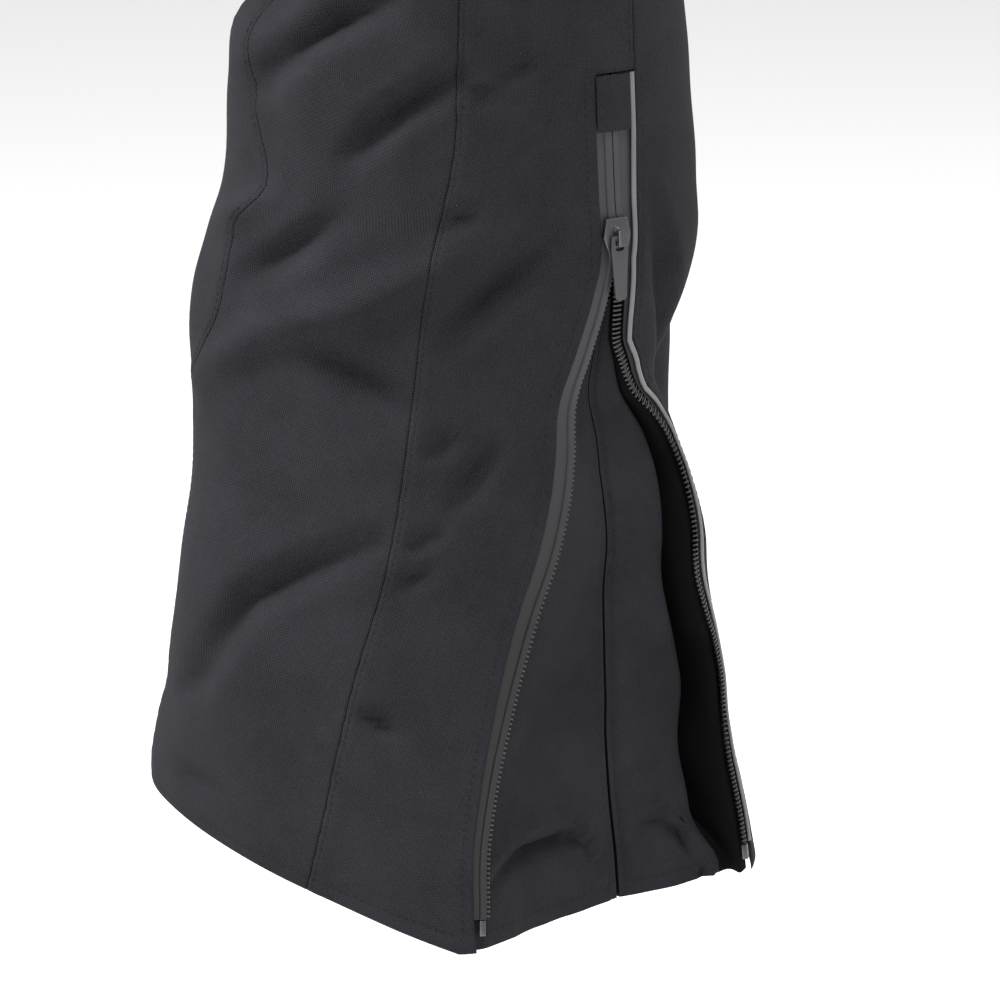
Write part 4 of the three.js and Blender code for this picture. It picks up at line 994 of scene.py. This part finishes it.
# The front half's deep crease over the ankle, as (share across, row).
ARCHED_CREASE = through((0, 14), (0.26, 33), (0.55, 36), (0.77, 32), (0.95, 8))
gusset_cloth = woven("gusset_cloth", (0.0215, 0.0203, 0.0253), 0.66, 0.0007, kind="plain", relief=1.0,
                     vary=0.6, Specular_IOR_Level=0.14)
# Painted shade: a near-black cloth for the open gusset's back half beyond its fold and for the strip behind
# its seam, standing in for the shade in the recess.
turned_cloth = woven("turned_cloth", (0.0028, 0.0027, 0.003), 0.85, 0.0007, kind="plain",
                     Specular_IOR_Level=0.1)
GUSSET_HEM_STITCH = 7.0
FOLD_AT = 2 / 5  # the back half's fold, as a share of its columns: beyond it the cloth turns under, and is painted near-black as painted shade
VALLEY = 3.4  # how far the two halves sink where they are sewn together, and over what distance
VALLEY_REACH = 4.2
SEAM_SLIT = 0.0055  # of a half's columns
gusset_hem = []
for leg in LEGS:
    rows = np.concatenate([[GUSSET_LOW, GUSSET_LOW + 0.8], np.linspace(GUSSET_LOW + 2.2, GUSSET_TOP, 64)])
    lines = [gusset_line(leg, row) for row in rows]
    for half, (which, columns) in enumerate((("front", 22), ("back", 34))):
        share = np.linspace(0, 1, columns + 1)
        if leg.is_open:
            share[half - 1] = 1 - SEAM_SLIT if which == "front" else SEAM_SLIT
        middle = np.stack([smooth_through(line[half], share) for line in lines], axis=1)
        normal = unit(np.cross(np.gradient(middle, axis=0), np.gradient(middle, axis=1))) * leg.sign
        run = run_along(middle) / MM
        width = run[-1]
        s, r = run / np.maximum(width, 1e-6), rows[None, :]
        inside = np.sin(np.pi * s) * ease(0, 30, width)
        if leg.is_open and which == "front":
            arch = r - ARCHED_CREASE(s)
            wave = (-4.8 * bell(arch, 3.4) + 5.2 * bell(arch - 8, 4.6)
                    + 0.55 * np.sin(run / 2.9 + r / 60) * np.sin(r / 47 + 1) + 0.5 * np.sin(r / 14 + run / 8))
            crease = -1.4 * bell(r - 70 - 30 * s, 6) - 1.1 * bell(r - 118 + 26 * s, 6)
        elif leg.is_open:
            seam_arch = r - 33 + 0.055 * (run - 17) ** 2
            wave = (-3.4 * bell(seam_arch, 3.0) + 3.4 * bell(seam_arch - 6, 4.0)
                    + 0.4 * np.sin(run / 3.1 + r / 50) + 1.4 * np.sin(r / 9.5 + run / 9) * bell(r - 60, 30)
                    + 0.9 * np.sin(r / 17 + run / 14))
            crease = (-2.2 * bell(r - 62 - 0.5 * (run - 15), 4) * (1 - ease(22, 32, run))
                      + 1.6 * bell(r - 38 + 1.25 * (run - 24), 2.2) * ease(16, 26, run)
                      * (1 - ease(46, 54, run)))
        else:
            wave, crease = 0.3 * np.sin(r / 19 + 4 * s), 0.0
        lift = (wave + crease) * inside
        edge = np.minimum(run, width - run)
        roll = 0.3 * np.maximum(0, 1 - edge / 0.9) ** 2
        if leg.is_open:
            to_seam = width - run if which == "front" else run
            roll = roll + VALLEY * np.maximum(0, 1 - to_seam / VALLEY_REACH) ** 2 * ease(6, 20, width)
        outer = middle + normal * (lift - roll)[..., None] * MM
        inner = middle + normal * (lift - GUSSET)[..., None] * MM
        bellows = grid_piece(f"{leg.name}_bellows_{which}", outer, inner, gusset_cloth, leg.sign < 0,
                             np.stack([run, r + 0 * run], axis=-1) * MM)
        # Painted shade: beyond the fold the outer and inner faces of the open back half take the near-black
        # cloth.
        if leg.is_open and which == "back":
            bellows.data.materials.append(turned_cloth)
            cells = columns * (len(rows) - 1)
            for face in bellows.data.polygons:
                column = face.index % cells // (len(rows) - 1)
                face.material_index = int(face.index < 2 * cells and column > FOLD_AT * columns)
        declare_cloth(bellows, middle, f"{leg.name}_gusset_{which}")
        if leg.is_open:
            hem_row = int(np.argmin(np.abs(rows - GUSSET_HEM_STITCH)))
            shown = columns + 1 if which == "front" else int(FOLD_AT * columns)
            gusset_hem += [(outer[i, hem_row], normal[i, hem_row]) for i in range(3 * (1 - half), shown)]
    if leg.is_open:
        sewn = np.array([line[0][-1] for line in lines])
        ways = [unit(np.array([line[0][-2] for line in lines]) - sewn),
                unit(np.array([line[1][1] for line in lines]) - sewn)]
        # Painted shade: the strip behind the seam's slit is near-black, so that it shows through the slit as
        # the seam's dark line.
        strip = []
        for way, away in ((0, 5.6), (0, 2.4), (0, 0.0), (1, 2.4), (1, 5.6)):
            sunk = VALLEY * max(0, 1 - away / VALLEY_REACH) ** 2 * ease(6, 20, width) + GUSSET + 0.3
            strip.append([sewn + ways[way] * away * MM - normal[0] * (sunk + thick)[:, None] * MM
                          for thick in (0, SEAM_TAPE)])
        strip = np.array(strip)
        tape = grid_piece(f"{leg.name}_gusset_seam_tape", strip[:, 0], strip[:, 1], turned_cloth,
                          leg.sign < 0)
        flat, area = cut_size(strip[:, 0])
        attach(tape, "garment")

# ---- Topstitching -----------------------------------------------------------------------------
# Black polyester thread, about eight stitches to the inch, beside the seams, round the hem, down both
# edges of the slot and across its top, and round the open gusset's hem.
STITCH = 2.5
STITCH_GAP = 0.8
THREAD = 0.21  # half its thickness
SUNK = 0.02  # how far the stitches lie under the cloth's plain face, and beside the slot
SLOT_SUNK = 0.05
SLOT_FRONT_IN = 5.0  # the slot's front and back edges to their stitching
SLOT_BACK_IN = 3.0
STITCHED_EVERY = 1.5  # between the points that a line of stitches follows

thread, add, wire = nodes_of("black_thread", (0.007, 0.007, 0.008), 0.7, Specular_IOR_Level=0.25)
twist = add("TexWave", [(add("TexCoord").outputs["Object"], "Vector")], bands_direction="DIAGONAL",
            Scale=900.0)
wire(mix_colours(add, twist.outputs["Fac"], (0.005, 0.005, 0.006), (0.011, 0.011, 0.012)), "Base Color")
bump = add("Bump", [(twist.outputs["Fac"], "Height")], Strength=0.4, Distance=0.0001)
wire(bump.outputs["Normal"], "Normal")

ends = np.array([-1.0, -0.6, 0.6, 1.0])
corner = np.radians([0, 90, 180, 270])
stitch_points = np.array([(along * STITCH / 2, THREAD * thick * math.cos(a),
                           THREAD * (thick * math.sin(a) + sunk))
                          for along, thick, sunk in zip(ends, (0.45, 1, 1, 0.45), (-1.1, 0.25, 0.25, -1.1))
                          for a in corner]) * MM
stitch_faces = [[4 * ring + k, 4 * ring + 4 + k, 4 * ring + 4 + (k + 1) % 4, 4 * ring + (k + 1) % 4]
                for ring in range(3) for k in range(4)] + [[0, 1, 2, 3], [15, 14, 13, 12]]


def stitched_line(name, points, out_of):
    """Stitches laid end to end along a line of points, with the cloth's outward direction at each."""
    run = run_along(points)
    at = np.arange(STITCH / 2 * MM, run[-1] - STITCH / 2 * MM, (STITCH + STITCH_GAP) * MM)
    pick = lambda values, where: np.stack([np.interp(where, run, values[:, k]) for k in range(3)], axis=-1)
    ahead = unit(pick(points, at + 0.4 * MM) - pick(points, at - 0.4 * MM))
    up = unit(pick(out_of, at))
    axes = np.stack([ahead, np.cross(up, ahead), up], axis=1)
    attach(repeated(name, pick(points, at), axes, stitch_points, stitch_faces, thread), "garment")


def seam_stitching(leg, label, line, rows, depth):
    points = leg.place(line(rows), rows, depth)
    stitched_line(f"{leg.name}_stitching_{label}", points, points - leg.place(line(rows), rows, depth + 1))


for leg in LEGS:
    rows = np.arange(STITCHED_EVERY, OUTSIDE_LEG - 2, STITCHED_EVERY)
    from_seam = STITCH_IN + SEAM_GAP / 2
    seam_stitching(leg, "princess_seam", leg.beside(leg.middle, from_seam), rows, SUNK)
    seam_stitching(leg, "inseam", leg.beside(leg.inseam, -from_seam), rows, SUNK)
    seam_stitching(leg, "front_seam", leg.beside(leg.front, -from_seam), rows, SUNK)
    slot_line = lambda row: leg.beside(lambda r: 360 + leg.beside(leg.zip_front, -TAPE_SHOWN(r))(r),
                                       -SLOT_FRONT_IN)(row)
    seam_stitching(leg, "slot_front", slot_line, np.arange(9, ZIP_TOP + 2.0, STITCHED_EVERY), SLOT_SUNK)
    seam_stitching(leg, "slot_back", leg.beside(leg.back_edge, SLOT_BACK_IN),
                   np.arange(HEM_BAND, ZIP_TOP + 1.0, STITCHED_EVERY), SLOT_SUNK)
    seam_stitching(leg, "side_seam", leg.beside(leg.side_edge, -from_seam),
                   np.arange(ZIP_TOP + 4, OUTSIDE_LEG - 2, STITCHED_EVERY), SUNK)
    hem_theta = np.linspace(leg.beside(leg.back_edge, SLOT_BACK_IN)(np.array(HEM_STITCH)),
                            leg.side_edge(np.array(HEM_STITCH)) - 3.5, 420)
    hem = leg.place(hem_theta, HEM_STITCH, 0.2)
    stitched_line(f"{leg.name}_stitching_hem", hem, hem - leg.place(hem_theta, HEM_STITCH, 1.2))
    if leg.is_open:
        hem, out_of = (np.array(part) for part in zip(*gusset_hem))
        stitched_line(f"{leg.name}_stitching_gusset_hem", hem, out_of)
    top_row = ZIP_TOP + 2.0
    top_theta = np.linspace(slot_line(np.array(top_row)), leg.side_edge(np.array(top_row)) - 0.4, 20)
    top = leg.place(top_theta, top_row, SLOT_SUNK)
    stitched_line(f"{leg.name}_stitching_slot_top", top, top - leg.place(top_theta, top_row, SLOT_SUNK + 1))

# ---- Belt -------------------------------------------------------------------------------------
# Black polypropylene webbing, 40 mm wide. It starts sewn round the buckle's bar, circles the waist
# through the loops, and its free tail passes through the buckle and is held down by a keeper.
BELT_WIDTH = 40
BELT_THICK = 2.5
BELT_CLEAR = 0.8
LAP = BELT_THICK + 0.5
BAR_X = 20
BELT_OUT = BELT_CLEAR + BELT_THICK / 2
BELT_FRONT = -(WAIST_HALF_DEPTH + BELT_OUT)
BAR_Y = BELT_FRONT + BELT_THICK / 2 + 0.4 + 1.7


def waist(degrees, distance):
    """A point some way outside the oval of the waist."""
    t = np.radians(degrees)
    normal = unit(np.stack([WAIST_HALF_DEPTH * np.cos(t), WAIST_HALF_WIDTH * np.sin(t)], axis=-1))
    oval = np.stack([WAIST_HALF_WIDTH * np.cos(t), WAIST_HALF_DEPTH * np.sin(t)], axis=-1)
    return oval + normal * distance


def webbing_section(wide, thick, corners):
    """A webbing's cut end, (across, out): rounded selvedges and a slightly fuller middle."""
    turn = np.linspace(0, 2 * np.pi, corners + 1)[:-1]
    return (wide / 2 * np.sign(np.sin(turn)) * np.abs(np.sin(turn)) ** 0.7,
            thick / 2 * np.sign(np.cos(turn)) * np.minimum(1, 1.6 * np.abs(np.cos(turn)) ** 0.6))


def strap(name, path, wide, thick):
    """Webbing on edge along a path in plan."""
    step = unit(np.gradient(path, axis=0))
    side = np.stack([step[:, 1], -step[:, 0]], axis=-1)
    up, out = webbing_section(wide, thick, 28)
    plan = path[:, None] + side[:, None] * out[None, :, None]
    rings = np.concatenate([plan, np.broadcast_to(up[None, :, None], (*plan.shape[:2], 1))], axis=-1) * MM
    run = run_along(path)
    plane = np.stack(np.broadcast_arrays(up[None, :], run[:, None]), axis=-1) * MM
    piece = ring_piece(name, rings, webbing, True, plane, closed=False, sharp=60)
    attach(piece, "garment")
    return piece, run[-1]


turn_radius = BAR_Y - BELT_FRONT
hook_turn = np.radians(np.linspace(90, 270, 13))
hook = np.stack([BAR_X + turn_radius * np.cos(hook_turn), BAR_Y + turn_radius * np.sin(hook_turn)], axis=-1)
sewn_end = waist(np.array([-77.5, -80.0]), BELT_OUT - LAP) + [[0, 0], [0, 0.8]]
belt_path = np.concatenate([sewn_end[:1], hook, waist(np.linspace(-82, 262, 150), BELT_OUT),
                            [[-8, BELT_FRONT], [8, BELT_FRONT], [14, BELT_FRONT - LAP]],
                            waist(np.linspace(-82, -63, 14), BELT_OUT + LAP)])
belt, belt_length = strap("waist_webbing", belt_path, BELT_WIDTH, BELT_THICK)
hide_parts("belt_webbing")

# ---- Keeper and belt loops ----------------------------------------------------------------------
# The keeper is a narrow ring of elastic webbing. Each leg hangs from three loops of 20 mm webbing,
# sewn to the cloth above and below the belt with bar tacks.
LOOP_WIDTH = 20
LOOP_THICK = 1.2
LOOP_ANGLES = {"front": -45, "side": -8, "back": 26}
KEEPER_WIDTH = 9


def waist_axes(degrees):
    """A place on the oval of the waist, the way out of it there, and the way round it."""
    t = math.radians(degrees)
    normal = unit(np.array([WAIST_HALF_DEPTH * math.cos(t), WAIST_HALF_WIDTH * math.sin(t)]))
    return waist(np.array(float(degrees)), 0.0), normal, np.array([-normal[1], normal[0]])


def cross_loop(name, degrees, line, wide, thick, closed, sign=1):
    """A band that runs up across the belt at an angle of the waist: line has its (distance, height)."""
    base, normal, along = waist_axes(degrees)
    step = unit(np.gradient(line, axis=0) if not closed else np.roll(line, -1, 0) - np.roll(line, 1, 0))
    face = np.stack([step[:, 1], -step[:, 0]], axis=-1)
    over, out = webbing_section(wide, thick, 20)
    flat = line[:, None] + face[:, None] * out[None, :, None]
    plan = base + normal * flat[..., :1] + along * over[None, :, None]
    rings = np.concatenate([plan, flat[..., 1:]], axis=-1) * MM * [sign, 1, 1]
    run = run_along(line)
    plane = np.stack(np.broadcast_arrays(over[None, :], run[:, None]), axis=-1) * MM
    piece = ring_piece(name, rings, webbing, sign < 0, plane, closed=closed, sharp=60)
    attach(piece, "garment")
    return piece, float(run[-1])


def rounded_line(corners, closed, cuts=3):
    """Corners cut off evenly, again and again, until the line is smooth."""
    line = np.array(corners, float)
    for _ in range(cuts):
        ahead = np.roll(line, -1, axis=0)
        cut = np.stack([0.75 * line + 0.25 * ahead, 0.25 * line + 0.75 * ahead], axis=1)
        line = (cut.reshape(-1, 2) if closed
                else np.concatenate([line[:1], cut[:-1].reshape(-1, 2), line[-1:]]))
    return line


half_belt = BELT_WIDTH / 2
foot, over_belt = SEAM_GAP + LOOP_THICK / 2, BELT_CLEAR + BELT_THICK + 0.5 + LOOP_THICK / 2
loop_line = rounded_line([(foot, -half_belt - 9), (foot, -half_belt - 5), (foot, -half_belt - 2.8),
                          (over_belt, -half_belt - 0.8), (over_belt, -half_belt + 3),
                          (over_belt, half_belt - 3), (over_belt, half_belt + 0.9),
                          (foot, half_belt + 2.9), (foot, half_belt + 7)], False)
for leg in LEGS:
    for where, degrees in LOOP_ANGLES.items():
        loop, length = cross_loop(f"{leg.name}_loop_{where}", degrees, loop_line, LOOP_WIDTH, LOOP_THICK,
                                  False, leg.sign)
        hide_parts(f"{leg.name}_belt_loop_{where}")
        base, normal, along = waist_axes(degrees)
        for tack, height in enumerate((-half_belt - 6.6, -half_belt - 5.4, half_belt + 4.4, half_belt + 5.6)):
            reach = np.linspace(-LOOP_WIDTH / 2 + 1.5, LOOP_WIDTH / 2 - 1.5, 12)
            plan = base + normal * (SEAM_GAP + LOOP_THICK + 0.05) + along * reach[:, None]
            line = np.concatenate([plan, np.full((len(reach), 1), height)], axis=-1) * MM * [leg.sign, 1, 1]
            stitched_line(f"{leg.name}_loop_{where}_tack_{tack}", line,
                          np.tile([normal[0] * leg.sign, normal[1], 0], (len(reach), 1)))

KEEPER_ANGLE = -74.3
KEEPER_WALL = 1.2
inside = BELT_CLEAR - 0.5 - KEEPER_WALL / 2
outside = BELT_OUT + LAP + BELT_THICK / 2 + 0.6 + KEEPER_WALL / 2
edge = half_belt + 0.6 + KEEPER_WALL / 2
keeper_line = rounded_line([(outside, -edge), (outside, 0), (outside, edge), (inside, edge), (inside, 0),
                            (inside, -edge)], True, 2)
keeper, _ = cross_loop("belt_tail_keeper", KEEPER_ANGLE, keeper_line, KEEPER_WIDTH, KEEPER_WALL, True)
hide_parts("belt_keeper")

# ---- Buckle -----------------------------------------------------------------------------------
# A cam buckle in steel with a black powder coat: a frame of two cheeks, bed, bar and pin, and a
# lever whose nose pinches the webbing against the bed.
powder_coat = cast_metal("powder_coat", (0.022, 0.022, 0.024), (0.2, 0.2, 0.205), 0.42, 0.4)
rounded("buckle_frame", powder_coat, 0.0005)
rounded("buckle_lever", powder_coat, 0.0005)
